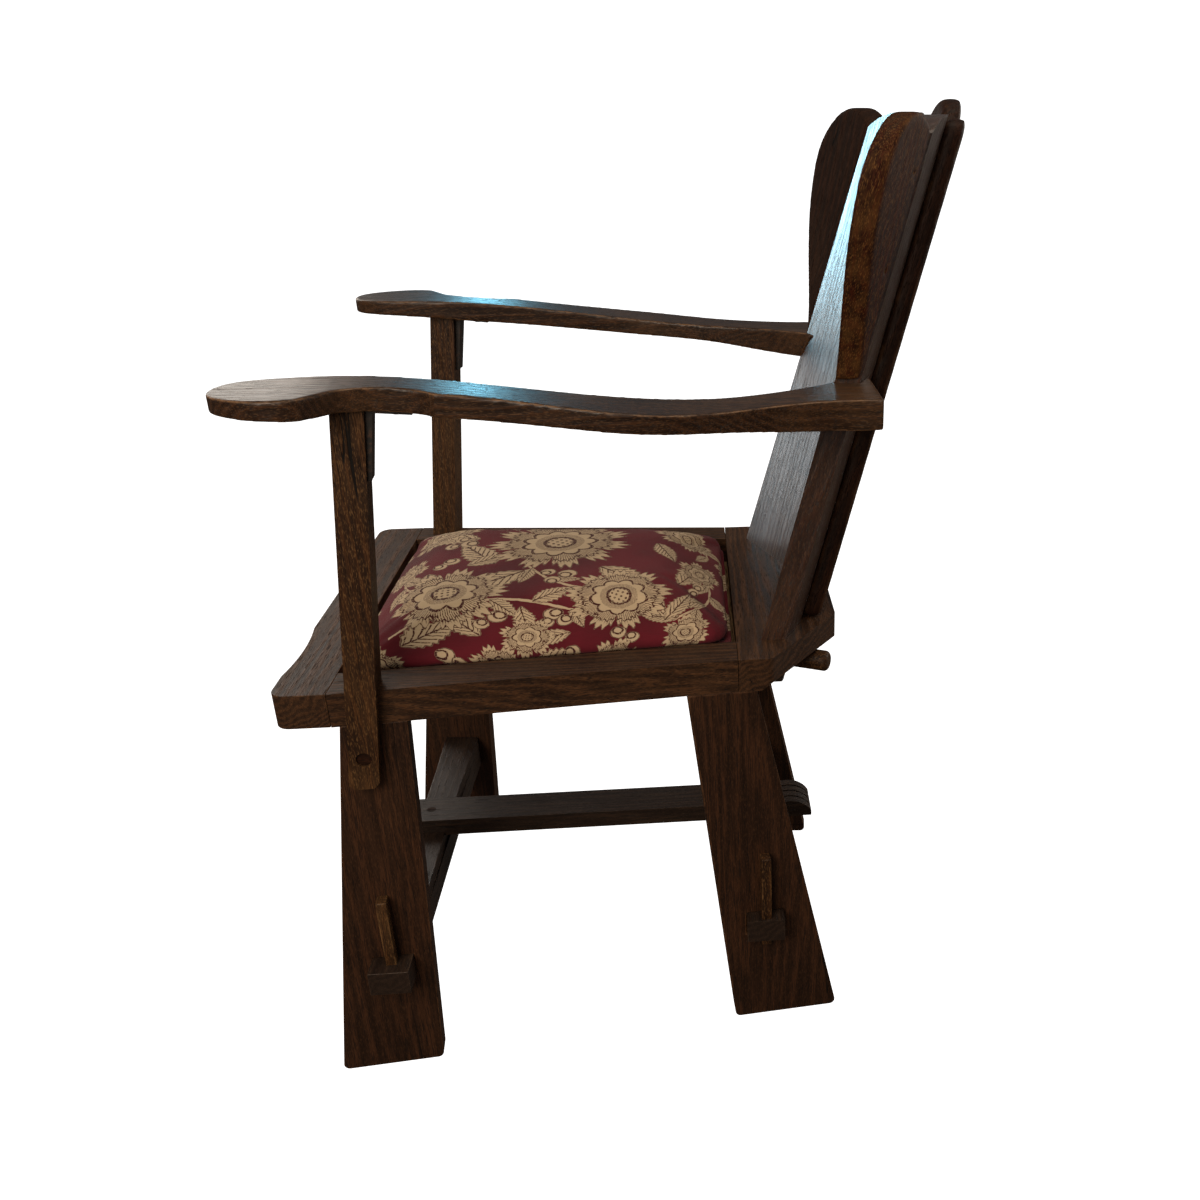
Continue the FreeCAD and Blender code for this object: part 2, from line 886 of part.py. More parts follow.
def make_pad_end_rail(start, outer_y):
    end = start + pad_rail_width
    points = [
        (-pad_half(start, 0), start),
        (pad_half(start, 0), start),
        (pad_half(end, 0), end),
        (-pad_half(end, 0), end),
    ]
    rail = flat_prism(points, pad_rail_low(), pad_rail_low() + pad_rail_height)
    corners = [
        edge
        for edge in rail.Edges
        if edge.BoundBox.ZLength > tiny and abs(edge.Vertexes[0].Y - outer_y) < tiny
    ]
    return rail.makeFillet(pad_corner_radius, corners)


def make_pad_side_rail():
    front, rear = pad_front() + pad_rail_width, pad_rear() - pad_rail_width
    points = [
        (pad_half(front, 0), front),
        (pad_half(rear, 0), rear),
        (pad_half(rear, pad_rail_width), rear),
        (pad_half(front, pad_rail_width), front),
    ]
    return flat_prism(points, pad_rail_low(), pad_rail_low() + pad_rail_height)


def make_webs():
    low = pad_rail_low() + pad_rail_height
    webs = []
    front, rear = pad_front() + pad_rail_width, pad_rear() - pad_rail_width
    pitch = (rear - front) / web_count
    for step in range(web_count):
        y = front + (step + 0.5) * pitch
        half = pad_half(y, pad_rail_width - web_overlap)
        webs.append(box(-half, half, y - web_width / 2, y + web_width / 2, low, low + web_thickness))
    return webs


def pad_outline(z, inset):
    front, rear = pad_front() + inset, pad_rear() - inset
    corners = [
        V(-pad_half(front, inset), front, z),
        V(pad_half(front, inset), front, z),
        V(pad_half(rear, inset), rear, z),
        V(-pad_half(rear, inset), rear, z),
    ]
    edges = []
    starts, ends, middles = [], [], []
    for index, corner in enumerate(corners):
        to_last = (corners[index - 1] - corner).normalize()
        to_next = (corners[(index + 1) % 4] - corner).normalize()
        half_angle = to_last.getAngle(to_next) / 2
        reach = pad_corner_radius / math.tan(half_angle)
        bisector = (to_last + to_next).normalize()
        depth = pad_corner_radius / math.sin(half_angle) - pad_corner_radius
        starts.append(corner + to_last * reach)
        ends.append(corner + to_next * reach)
        middles.append(corner + bisector * depth)
    for index in range(4):
        edges.append(arc(starts[index], middles[index], ends[index]))
        edges.append(line(ends[index], starts[(index + 1) % 4]))
    return Part.Wire(edges)


def make_cushion():
    low = pad_rail_low() + pad_rail_height + web_thickness
    skirt = low + pad_skirt_height
    levels = [(low, pad_skirt_inset)]
    for step in range(pad_levels + 1):
        turn = math.radians(90) * step / pad_levels
        rise = math.sin(turn) ** pad_fullness_share
        inset = pad_crown_inset * (1 - math.cos(turn) ** pad_fullness_share)
        levels.append((between(skirt, low + pad_crown, rise), inset))
    return Part.makeLoft([pad_outline(z, inset) for z, inset in levels], True, True)


def make_tacks():
    tacks = []
    top = pad_rail_low()
    for y in (pad_front() + tack_inset, pad_rear() - tack_inset):
        half = pad_half(y, pad_rail_width)
        for step in range(tack_count):
            x = between(-half, half, step / (tack_count - 1))
            tacks.append(rod(tack_radius, V(x, y, top - tack_height), up, tack_height))
    return tacks


# Assembly
def cut_all(shape, tools):
    for tool in tools:
        shape = shape.cut(tool)
    return one_solid(shape)


front_rail = make_front_rail()
side_rail = make_side_rail()
rear_rail = make_rear_rail()
dowels = make_frame_dowels()

front_top_rear = front_leg_top_y + front_leg_top_width
front_foot = front_leg_top_y - front_leg_splay
front_foot_rear = front_foot + front_leg_foot_width
front_leg = make_leg(front_leg_top_y, front_top_rear, front_foot, front_foot_rear)
front_tenon = make_leg_tenon(front_leg_top_y + front_leg_top_width / 2)
rear_top_front = rear_leg_top_y - rear_leg_top_width
rear_foot = rear_leg_top_y + rear_leg_splay
rear_leg = make_leg(rear_top_front, rear_leg_top_y, rear_foot - rear_leg_foot_width, rear_foot)
rear_tenon = make_leg_tenon(rear_leg_top_y - rear_leg_top_width / 2)

wing = make_wing()
side_board = make_side_board()
back_tenon = make_back_tenon()
key = make_key()
centre_board = make_centre_board()
peg_low, peg_high = seat_height + back_peg_rise, valley_height - back_peg_drop
peg_heights = [between(peg_low, peg_high, step / (back_peg_count - 1)) for step in range(back_peg_count)]
back_pegs = [make_back_peg(z) for z in peg_heights]
dowel_high = valley_height - wing_dowel_drop
wing_dowels = [make_wing_dowel(z) for z in (dowel_high - wing_dowel_spacing, dowel_high)]

arm = make_arm()
post = make_post()
post_tenon = make_post_tenon()
post_peg = make_post_peg()
peg_hole = make_peg_hole()
bracket = make_bracket()
bracket_fixings = bracket_screws()
hook_fixing = hook_screw()

side_ledge = make_side_ledge()
front_ledge = make_end_ledge(seam_front_y, 1)
rear_ledge = make_end_ledge(seam_rear_y, -1)
ledge_fixings = ledge_screws()

# The back boards stand on the rear rail, and the side boards run through it
side_board = side_board.fuse(back_tenon).removeSplitter()
side_board = cut_all(side_board, [key] + back_pegs + wing_dowels + [hook_fixing])
mirror_pegs = [mirrored(peg) for peg in back_pegs]
centre_board = cut_all(centre_board, back_pegs + mirror_pegs)
wing = cut_all(wing, wing_dowels + [side_board])

arm = cut_all(arm, [side_board, wing, centre_board, hook_fixing, post_tenon] + bracket_fixings)
post = one_solid(one_solid(post.cut(arm)).fuse(post_tenon).removeSplitter())
post = cut_all(post, [peg_hole] + bracket_fixings)
bracket = cut_all(bracket, [arm] + bracket_fixings)

tenons = [front_tenon, rear_tenon]
front_rail = cut_all(front_rail, dowels + ledge_fixings)
side_rail = cut_all(side_rail, dowels + tenons + ledge_fixings)
rear_rail = cut_all(rear_rail, dowels + [rear_tenon, mirrored(rear_tenon)] + ledge_fixings)
rear_rail = cut_all(rear_rail, [side_board, mirrored(side_board), key, mirrored(key)])
node("seat_front_rail", front_rail)
both_sides("seat_side_rail", side_rail)
node("seat_rear_rail", rear_rail)
node("seat_frame_dowels", *dowels)

centre_stretcher = make_centre_stretcher()
stretcher_pegs = [make_stretcher_peg(y) for y in (front_cross_y, rear_cross_y)]
wedges = []
legs = (
    ("front", front_leg, front_tenon, front_cross_y, front_tusk_projection),
    ("rear", rear_leg, rear_tenon, rear_cross_y, rear_tusk_projection),
)
for end_name, leg, tenon, cross_y, projection in legs:
    tusk = make_tusk(cross_y, projection)
    wedge = make_wedge(cross_y)
    wedges += [wedge, mirrored(wedge)]
    body = cut_all(make_cross_body(cross_y), [leg, mirrored(leg), centre_stretcher])
    cross = body.fuse(tusk).removeSplitter()
    cross = cut_all(cross, [wedge, mirrored(wedge), centre_stretcher] + stretcher_pegs)
    leg = one_solid(leg.fuse(tenon).removeSplitter())
    leg = cut_all(leg, [tusk, post_peg])
    both_sides("leg_" + end_name, leg)
    node("cross_stretcher_" + end_name, cross)
node("centre_stretcher", cut_all(centre_stretcher, stretcher_pegs))
node("stretcher_pegs", *stretcher_pegs)
node("tusk_wedges", *wedges)
node("front_bearer", make_bearer())

both_sides("arm_post", post)
node("post_pegs", post_peg, mirrored(post_peg))
both_sides("arm", arm)
node("arm_angle_irons", bracket, mirrored(bracket))
arm_fixings = bracket_fixings + [hook_fixing]
node("arm_screws", *arm_fixings, *[mirrored(fixing) for fixing in arm_fixings])

node("back_board_centre", centre_board)
both_sides("back_board", side_board)
both_sides("back_wing", wing)
node("back_pegs", *back_pegs, *mirror_pegs)
node("wing_dowels", *wing_dowels, *[mirrored(dowel) for dowel in wing_dowels])
node("back_keys", key, mirrored(key))

both_sides("seat_ledge", cut_all(side_ledge, ledge_fixings))
node("seat_ledge_front", cut_all(front_ledge, ledge_fixings))
node("seat_ledge_rear", cut_all(rear_ledge, ledge_fixings))
node("ledge_screws", *ledge_fixings)

node("pad_rail_front", make_pad_end_rail(pad_front(), pad_front()))
node("pad_rail_rear", make_pad_end_rail(pad_rear() - pad_rail_width, pad_rear()))
both_sides("pad_rail", make_pad_side_rail())
node("pad_webbing", *make_webs())
node("pad_cushion", make_cushion())
node("pad_tacks", *make_tacks())

# The origin goes under the middle of the overall box
extent = Part.makeCompound(list(made.values())).BoundBox
middle_y = between(extent.YMin, extent.YMax, 0.5)
os.makedirs("parts", exist_ok=True)
for name, shape in made.items():
    shape.translate(V(0, -middle_y, 0))
    if not shape.isValid():
        print("not valid:", name)
    shape.exportStep("parts/" + name + ".step")
whole = Part.makeCompound(list(made.values())).BoundBox
print("nodes", len(made), "size", whole.XLength, whole.YLength, whole.ZLength)
print("from", whole.XMin, whole.YMin, whole.ZMin)
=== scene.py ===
import json
import math
import random
import bpy
from mathutils import Matrix, Vector

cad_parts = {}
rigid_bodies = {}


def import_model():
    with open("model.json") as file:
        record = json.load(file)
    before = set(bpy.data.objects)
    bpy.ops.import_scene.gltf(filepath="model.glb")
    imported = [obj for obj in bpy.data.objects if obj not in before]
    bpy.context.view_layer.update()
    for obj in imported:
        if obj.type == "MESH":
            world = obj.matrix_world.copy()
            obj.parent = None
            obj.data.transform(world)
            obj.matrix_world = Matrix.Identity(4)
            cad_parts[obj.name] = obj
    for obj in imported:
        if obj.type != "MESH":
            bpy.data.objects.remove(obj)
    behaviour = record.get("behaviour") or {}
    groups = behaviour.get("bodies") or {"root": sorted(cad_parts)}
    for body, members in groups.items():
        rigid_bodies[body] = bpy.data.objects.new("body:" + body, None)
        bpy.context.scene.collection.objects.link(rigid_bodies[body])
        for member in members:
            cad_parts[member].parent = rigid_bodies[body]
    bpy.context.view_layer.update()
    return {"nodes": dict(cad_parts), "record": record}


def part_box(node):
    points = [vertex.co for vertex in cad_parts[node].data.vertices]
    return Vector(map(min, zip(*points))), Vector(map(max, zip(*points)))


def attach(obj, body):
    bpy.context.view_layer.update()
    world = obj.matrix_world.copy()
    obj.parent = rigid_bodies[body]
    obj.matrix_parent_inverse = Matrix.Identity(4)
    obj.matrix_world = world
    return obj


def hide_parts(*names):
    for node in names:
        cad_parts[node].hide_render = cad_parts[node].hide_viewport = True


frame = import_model()
cadNodes = frame["nodes"]
bodies = frame["record"]["behaviour"]["bodies"]
bodyOfNode = {node: body for body, nodes in bodies.items() for node in nodes}
bpy.ops.object.select_all(action="DESELECT")
random.seed(7)
bpy.context.scene.view_settings.view_transform = "Standard"

# Camera: where the photograph was taken from
cameraView = {
    "place": (1.1502, 0.0614, 0.9223),
    "pitch": 23.791,  # degrees down
    "yaw": 5.454,  # degrees from -X towards +Y
    "lens": 34.5,  # millimetres, as the sensor's width is
    "sensor": 36,
    "shiftX": -0.1667,
    "nearest": 0.05,
}


def addCamera(view):
    pitch, yaw = math.radians(view["pitch"]), math.radians(view["yaw"])
    ahead = Vector((-math.cos(yaw) * math.cos(pitch), math.sin(yaw) * math.cos(pitch), -math.sin(pitch)))
    right = ahead.cross(Vector((0, 0, 1))).normalized()
    above = right.cross(ahead)
    data = bpy.data.cameras.new("photoCamera")
    data.lens = view["lens"]
    data.sensor_width = view["sensor"]
    data.shift_x = view["shiftX"]
    data.clip_start = view["nearest"]
    camera = bpy.data.objects.new("photoCamera", data)
    bpy.context.collection.objects.link(camera)
    turn = Matrix((right, above, -ahead)).transposed().to_4x4()
    camera.matrix_world = Matrix.Translation(view["place"]) @ turn
    bpy.context.scene.camera = camera


addCamera(cameraView)
print("camera set")

# Node helpers: a value may be a number, a colour or another node's output
def feed(tree, socket, value):
    if isinstance(value, bpy.types.NodeSocket):
        tree.links.new(value, socket)
    elif value is not None:
        socket.default_value = value


def addNode(tree, kind, inputs=None, **settings):
    node = tree.nodes.new("ShaderNode" + kind)
    for name, value in settings.items():
        setattr(node, name, value)
    for name, value in (inputs or {}).items():
        feed(tree, node.inputs[name], value)
    return node


def calc(tree, operation, first, second=None, third=None, clamp=False):
    node = addNode(tree, "Math", {0: first, 1: second, 2: third}, operation=operation, use_clamp=clamp)
    return node.outputs[0]


def near(tree, value, target):
    return calc(tree, "ABSOLUTE", calc(tree, "SUBTRACT", value, target))


def wave(tree, value, speed):
    return calc(tree, "SINE", calc(tree, "MULTIPLY", value, speed))


def fade(tree, value, low, high):
    inputs = {"Value": value, "From Min": low, "From Max": high, "To Min": 0.0, "To Max": 1.0}
    return addNode(tree, "MapRange", inputs, interpolation_type="SMOOTHSTEP").outputs["Result"]


def mixColour(tree, amount, first, second, blend="MIX"):
    node = addNode(tree, "Mix", data_type="RGBA", blend_type=blend)
    feed(tree, node.inputs[0], amount)
    feed(tree, node.inputs[6], first)
    feed(tree, node.inputs[7], second)
    return node.outputs[2]


def vectorCalc(tree, operation, first, second=None, third=None):
    inputs = {0: first, 1: second, 2: third}
    return addNode(tree, "VectorMath", inputs, operation=operation).outputs[0]


def stretched(tree, vector, scale):
    return vectorCalc(tree, "MULTIPLY", vector, scale)


def resized(tree, vector, scale):
    return addNode(tree, "VectorMath", {0: vector, "Scale": scale}, operation="SCALE").outputs[0]


def lengthOf(tree, vector):
    return addNode(tree, "VectorMath", {0: vector}, operation="LENGTH").outputs["Value"]


def axes(tree, vector):
    return addNode(tree, "SeparateXYZ", {0: vector}).outputs


def noiseValue(tree, vector, scale, detail=2.0, roughness=0.5):
    inputs = {"Vector": vector, "Scale": scale, "Detail": detail, "Roughness": roughness}
    return addNode(tree, "TexNoise", inputs).outputs[0]


def stretchedNoise(tree, vector, stretch, detail, roughness=0.5):
    return noiseValue(tree, stretched(tree, vector, stretch), 1.0, detail, roughness)


def newGroup(name, inputs, outputs):
    tree = bpy.data.node_groups.new(name, "ShaderNodeTree")
    for label, kind in inputs:
        tree.interface.new_socket(label, in_out="INPUT", socket_type="NodeSocket" + kind)
    for label, kind in outputs:
        tree.interface.new_socket(label, in_out="OUTPUT", socket_type="NodeSocket" + kind)
    return tree, tree.nodes.new("NodeGroupInput").outputs, tree.nodes.new("NodeGroupOutput").inputs


def useGroup(tree, group, inputs):
    node = tree.nodes.new("ShaderNodeGroup")
    node.node_tree = group
    for name, value in inputs.items():
        feed(tree, node.inputs[name], value)
    return node.outputs


def newMaterial(name):
    material = bpy.data.materials.new(name)
    material.use_nodes = True
    tree = material.node_tree
    return material, tree, tree.nodes["Principled BSDF"]


def setSockets(surface, values):
    for name, value in values.items():
        surface.inputs[name].default_value = value


def addBump(tree, surface, strength, distance, height):
    bump = addNode(tree, "Bump", {"Strength": strength, "Distance": distance, "Height": height})
    feed(tree, surface.inputs["Normal"], bump.outputs[0])


# Light: window panes, most of them on the far side, a warm fill from the near side, and soft light
# from behind and above
studio = {
    "lights": {  # name: place, target, width, height, power, colour
        "windowLight": ((-1.60, -1.30, 1.40), (0, 0.10, 0.60), 1.1, 1.1, 10, (1.0, 0.92, 0.82)),
        "boardPane": ((-1.22, -1.42, 1.27), (-0.10, 0.24, 0.85), 0.40, 0.55, 30, (0.36, 0.78, 1.0)),
        "lowPane": ((-1.22, -1.42, 0.62), (-0.10, 0.18, 0.60), 0.40, 0.75, 4, (0.92, 0.97, 1.0)),
        "beamPane": ((-1.22, -1.42, 0.90), (-0.10, 0.0, 0.25), 0.60, 0.75, 16, (1.0, 0.97, 0.92)),
        "wingPane": ((1.30, 1.45, 1.05), (0.22, 0.15, 0.75), 0.6, 0.6, 6, (1.0, 0.60, 0.34)),
        "armPane": ((-1.75, -0.37, 1.17), (0.22, -0.08, 0.70), 0.09, 0.12, 1.9, (0.25, 0.74, 1.0)),
        "fillLight": ((1.90, -0.90, 1.60), (0, 0, 0.45), 1.4, 1.4, 38, (1.0, 0.86, 0.70)),
        "backLight": ((-0.90, 2.40, 1.30), (0, 0.20, 0.50), 1.4, 1.4, 26, (1.0, 0.93, 0.84)),
        "topLight": ((0.35, 0.45, 2.40), (0, 0, 0.40), 1.2, 1.2, 13, (1.0, 0.86, 0.68)),
    },
    "reaches": {  # a pane that lights only the pieces whose names start so
        "boardPane": ("backBoardRight",),
        "lowPane": ("backBoard", "seatFrontRail"),
        "beamPane": ("centreStretcher", "crossStretcher"),
        "wingPane": ("backWingLeft",),
        "armPane": ("arm",),
    },
    "worldStrength": 0.10,
    "backdropStrength": 1.3,  # the world as the camera sees it
    "floorSize": 14,
    "floorColour": (0.10, 0.065, 0.04, 1),
    "floorRoughness": 0.9,
    "floorGlow": 0.02,
    "floorShine": 1.3,  # the floor's glow as the camera sees it
}


def addAreaLight(name, place, target, width, height, power, colour):
    data = bpy.data.lights.new(name, "AREA")
    data.shape = "RECTANGLE"
    data.size = width
    data.size_y = height
    data.energy = power
    data.color = colour
    light = bpy.data.objects.new(name, data)
    bpy.context.collection.objects.link(light)
    light.location = place
    light.rotation_euler = (Vector(target) - Vector(place)).to_track_quat("-Z", "Y").to_euler()
    light.visible_camera = False


def cameraSees(tree, unseen, seen):
    isSeen = tree.nodes.new("ShaderNodeLightPath").outputs["Is Camera Ray"]
    return addNode(tree, "MapRange", {"Value": isSeen, "To Min": unseen, "To Max": seen}).outputs[0]


def buildStudio(studio):
    for name, light in studio["lights"].items():
        addAreaLight(name, *light)
    world = bpy.data.worlds.new("studioWorld")
    bpy.context.scene.world = world
    world.use_nodes = True
    background = world.node_tree.nodes["Background"]
    background.inputs["Color"].default_value = (1, 1, 1, 1)
    strength = cameraSees(world.node_tree, studio["worldStrength"], studio["backdropStrength"])
    feed(world.node_tree, background.inputs["Strength"], strength)
    bpy.ops.mesh.primitive_plane_add(size=studio["floorSize"], location=(0, 0, 0))
    floor = bpy.context.object
    floor.name = "studioFloor"
    material, tree, surface = newMaterial("paleFloor")
    finish = {"Base Color": studio["floorColour"], "Roughness": studio["floorRoughness"]}
    setSockets(surface, {**finish, "Emission Color": (1, 1, 1, 1)})
    glow = cameraSees(tree, studio["floorGlow"], studio["floorShine"])
    feed(tree, surface.inputs["Emission Strength"], glow)
    floor.data.materials.append(material)
    bpy.ops.object.select_all(action="DESELECT")


def limitPanes(reaches):
    for name, starts in reaches.items():
        lit = bpy.data.collections.new(name + "Reach")
        for piece in bpy.data.objects:
            if piece.type == "MESH" and piece.name.startswith(starts):
                lit.objects.link(piece)
        bpy.data.objects[name].light_linking.receiver_collection = lit


buildStudio(studio)
print("studio ready")


# Oak: growth rings, streaks, open pores, flecks and hairline shakes, with the grain along Z
oakGrain = {
    "broad": ((22, 22, 1.8), 3.0),  # noises: stretch, detail, and roughness where it isn't 0.5
    "streak": ((260, 260, 8), 4.0, 0.62),
    "pore": ((1500, 1500, 55), 1.0),
    "fleck": ((1300, 1300, 230), 1.5),
    "shake": ((34, 34, 1.3), 2.0),
    "slant": 0.55,  # the rings lie aslant: Y counts this much of X
    "waver": 46.0,
    "ringContrast": 2.2,
    "ringPores": 0.10,
    "poreFade": (0.62, 0.70),
    "fleckFade": (0.54, 0.64),
    "shakeLevel": 0.47,
    "shakeFade": (0.0030, 0.0012),
    "shakePatch": (0.48, 0.56),
    "streakHeight": 0.5,
    "ringHeight": 0.35,
    "poreDepth": 0.9,
}


def buildOakGroup(grain):
    outputs = ("Streak", "Rings", "Pores", "Fleck", "Shake", "Height")
    inputs = [("Vector", "Vector"), ("Ring Size", "Float")]
    tree, given, out = newGroup("oakGrain", inputs, [(name, "Float") for name in outputs])
    place = given["Vector"]
    broad = stretchedNoise(tree, place, *grain["broad"])
    streak = stretchedNoise(tree, place, *grain["streak"])
    parts = axes(tree, place)
    across = calc(tree, "MULTIPLY_ADD", parts[1], grain["slant"], parts[0])
    turn = calc(tree, "DIVIDE", across, given["Ring Size"])
    turn = calc(tree, "MULTIPLY_ADD", broad, grain["waver"], turn)
    ringWave = calc(tree, "MULTIPLY_ADD", calc(tree, "SINE", turn), 0.5, 0.5)
    rings = calc(tree, "POWER", ringWave, grain["ringContrast"])
    poreNoise = stretchedNoise(tree, place, *grain["pore"])
    pores = calc(tree, "MULTIPLY_ADD", rings, grain["ringPores"], poreNoise)
    pores = fade(tree, pores, *grain["poreFade"])
    fleck = fade(tree, stretchedNoise(tree, place, *grain["fleck"]), *grain["fleckFade"])
    nearShake = near(tree, stretchedNoise(tree, place, *grain["shake"]), grain["shakeLevel"])
    shake = fade(tree, nearShake, *grain["shakeFade"])
    shake = calc(tree, "MULTIPLY", shake, fade(tree, broad, *grain["shakePatch"]))
    height = calc(tree, "MULTIPLY", rings, grain["ringHeight"])
    height = calc(tree, "MULTIPLY_ADD", streak, grain["streakHeight"], height)
    height = calc(tree, "SUBTRACT", height, calc(tree, "MULTIPLY", pores, grain["poreDepth"]))
    height = calc(tree, "SUBTRACT", height, shake)
    for name, value in zip(outputs, (streak, rings, pores, fleck, shake, height)):
        feed(tree, out[name], value)
    return tree


# Wear: eased edges are rubbed to a paler brown, in an uneven line
edgeWear = {
    "patches": (38.0, 4.0, 0.65),  # noise: scale, detail, roughness
    "patchFade": (0.40, 0.62),
}


def buildWearGroup(wear):
    inputs = [("Vector", "Vector"), ("Amount", "Float")]
    tree, given, out = newGroup("edgeWear", inputs, [("Mask", "Float")])
    edge = addNode(tree, "Attribute", attribute_name="wornEdge").outputs["Fac"]
    patch = noiseValue(tree, given["Vector"], *wear["patches"])
    rubbed = calc(tree, "MULTIPLY", edge, fade(tree, patch, *wear["patchFade"]))
    feed(tree, out["Mask"], calc(tree, "MULTIPLY", rubbed, given["Amount"], clamp=True))
    return tree


oakGroup = buildOakGroup(oakGrain)
wearGroup = buildWearGroup(edgeWear)

backSlope = 0.28  # of the back boards, run over rise
grainTurns = {  # turns the named axis onto the grain's Z
    "x": (0, -math.pi / 2, 0),
    "y": (math.pi / 2, 0, 0),
    "z": (0, 0, 0),
    "back": (math.atan(backSlope), 0, 0),
}

oakFinishes = {  # wear, rub and fleck are shares; ring and relief are in metres
    "railOak": {
        "dark": (0.016, 0.0064, 0.0028, 1),
        "mid": (0.074, 0.0310, 0.0124, 1),
        "worn": (0.190, 0.098, 0.046, 1),
        "wear": 0.75,
        "rub": 0.22,
        "fleck": 0.2,
        "ring": 0.0011,
        "gloss": 0.52,
        "coat": 0.04,
        "relief": 0.0003,
        "shine": 0.22,
    },
    "legOak": {
        "dark": (0.015, 0.0058, 0.0026, 1),
        "mid": (0.052, 0.0196, 0.0080, 1),
        "worn": (0.130, 0.060, 0.027, 1),
        "wear": 0.6,
        "rub": 0.16,
        "fleck": 0.22,
        "ring": 0.0014,
        "gloss": 0.56,
        "coat": 0.02,
        "relief": 0.0003,
        "shine": 0.22,
    },
    "armOak": {
        "dark": (0.011, 0.0042, 0.0018, 1),
        "mid": (0.050, 0.0195, 0.0072, 1),
        "worn": (0.230, 0.122, 0.058, 1),
        "wear": 0.85,
        "rub": 0.34,
        "fleck": 0.25,
        "ring": 0.0012,
        "gloss": 0.34,
        "coat": 0.06,
        "relief": 0.00024,
        "shine": 0.32,
    },
    "postOak": {
        "dark": (0.016, 0.0058, 0.0020, 1),
        "mid": (0.058, 0.0215, 0.0062, 1),
        "worn": (0.230, 0.118, 0.044, 1),
        "wear": 0.7,
        "rub": 0.45,
        "fleck": 0.4,
        "ring": 0.0012,
        "gloss": 0.54,
        "coat": 0.02,
        "relief": 0.0003,
        "shine": 0.22,
    },
    "boardOak": {
        "dark": (0.016, 0.0046, 0.0022, 1),
        "mid": (0.042, 0.0125, 0.0050, 1),
        "worn": (0.190, 0.092, 0.038, 1),
        "wear": 0.8,
        "rub": 0.2,
        "fleck": 0.3,
        "ring": 0.0013,
        "gloss": 0.32,
        "coat": 0.35,
        "relief": 0.0006,
        "shine": 0.75,
    },
    "wingOak": {
        "dark": (0.010, 0.0024, 0.0011, 1),
        "mid": (0.036, 0.0060, 0.0019, 1),
        "worn": (0.150, 0.072, 0.022, 1),
        "wear": 0.3,
        "rub": 0.3,
        "fleck": 0.6,
        "ring": 0.0013,
        "gloss": 0.62,
        "coat": 0.0,
        "relief": 0.0004,
        "shine": 0.12,
    },
    # a darker, greyer copy of the wing oak for the far wing: painted shade
    "shadeOak": {
        "dark": (0.011, 0.0044, 0.0026, 1),
        "mid": (0.026, 0.0098, 0.0052, 1),
        "worn": (0.090, 0.050, 0.028, 1),
        "wear": 0.4,
        "rub": 0.15,
        "fleck": 0.10,
        "ring": 0.0013,
        "gloss": 0.8,
        "coat": 0.0,
        "relief": 0.0002,
        "shine": 0.15,
    },
    # a darker copy of the board oak: painted shade on the centre board's shadowed edges and in the pegs'
    # recesses
    "centreOak": {
        "dark": (0.010, 0.0034, 0.0018, 1),
        "mid": (0.028, 0.0094, 0.0046, 1),
        "worn": (0.110, 0.052, 0.024, 1),
        "wear": 0.4,
        "rub": 0.1,
        "fleck": 0.1,
        "ring": 0.0013,
        "gloss": 0.5,
        "coat": 0.0,
        "relief": 0.0004,
        "shine": 0.14,
    },
    "beamOak": {
        "dark": (0.012, 0.0062, 0.0042, 1),
        "mid": (0.030, 0.0160, 0.0098, 1),
        "worn": (0.110, 0.068, 0.044, 1),
        "wear": 0.5,
        "rub": 0.12,
        "fleck": 0.15,
        "ring": 0.0014,
        "gloss": 0.48,
        "coat": 0.08,
        "relief": 0.0003,
        "shine": 0.25,
    },
    "plainOak": {
        "dark": (0.13, 0.075, 0.035, 1),
        "mid": (0.28, 0.17, 0.085, 1),
        "worn": (0.36, 0.25, 0.14, 1),
        "wear": 0.3,
        "rub": 0.3,
        "fleck": 0.2,
        "ring": 0.0013,
        "gloss": 0.7,
        "coat": 0.0,
        "relief": 0.0003,
        "shine": 0.2,
    },
}

oakSurface = {
    "ringShade": 0.45,
    "streakShade": 0.9,
    "shadeFade": (0.30, 0.95),
    "clouds": (7.0, 3.0, 0.55),  # noise: scale, detail, roughness
    "cloudFade": (0.42, 0.70),
    "poreShade": 0.7,
    "dent": (0.003, 0.0015, 0.0010, 1),
    "streakRoughness": 0.22,
    "poreRoughness": 0.25,
    "bump": 0.9,
    "coatRoughness": 0.28,
}
oakMaterials = {}


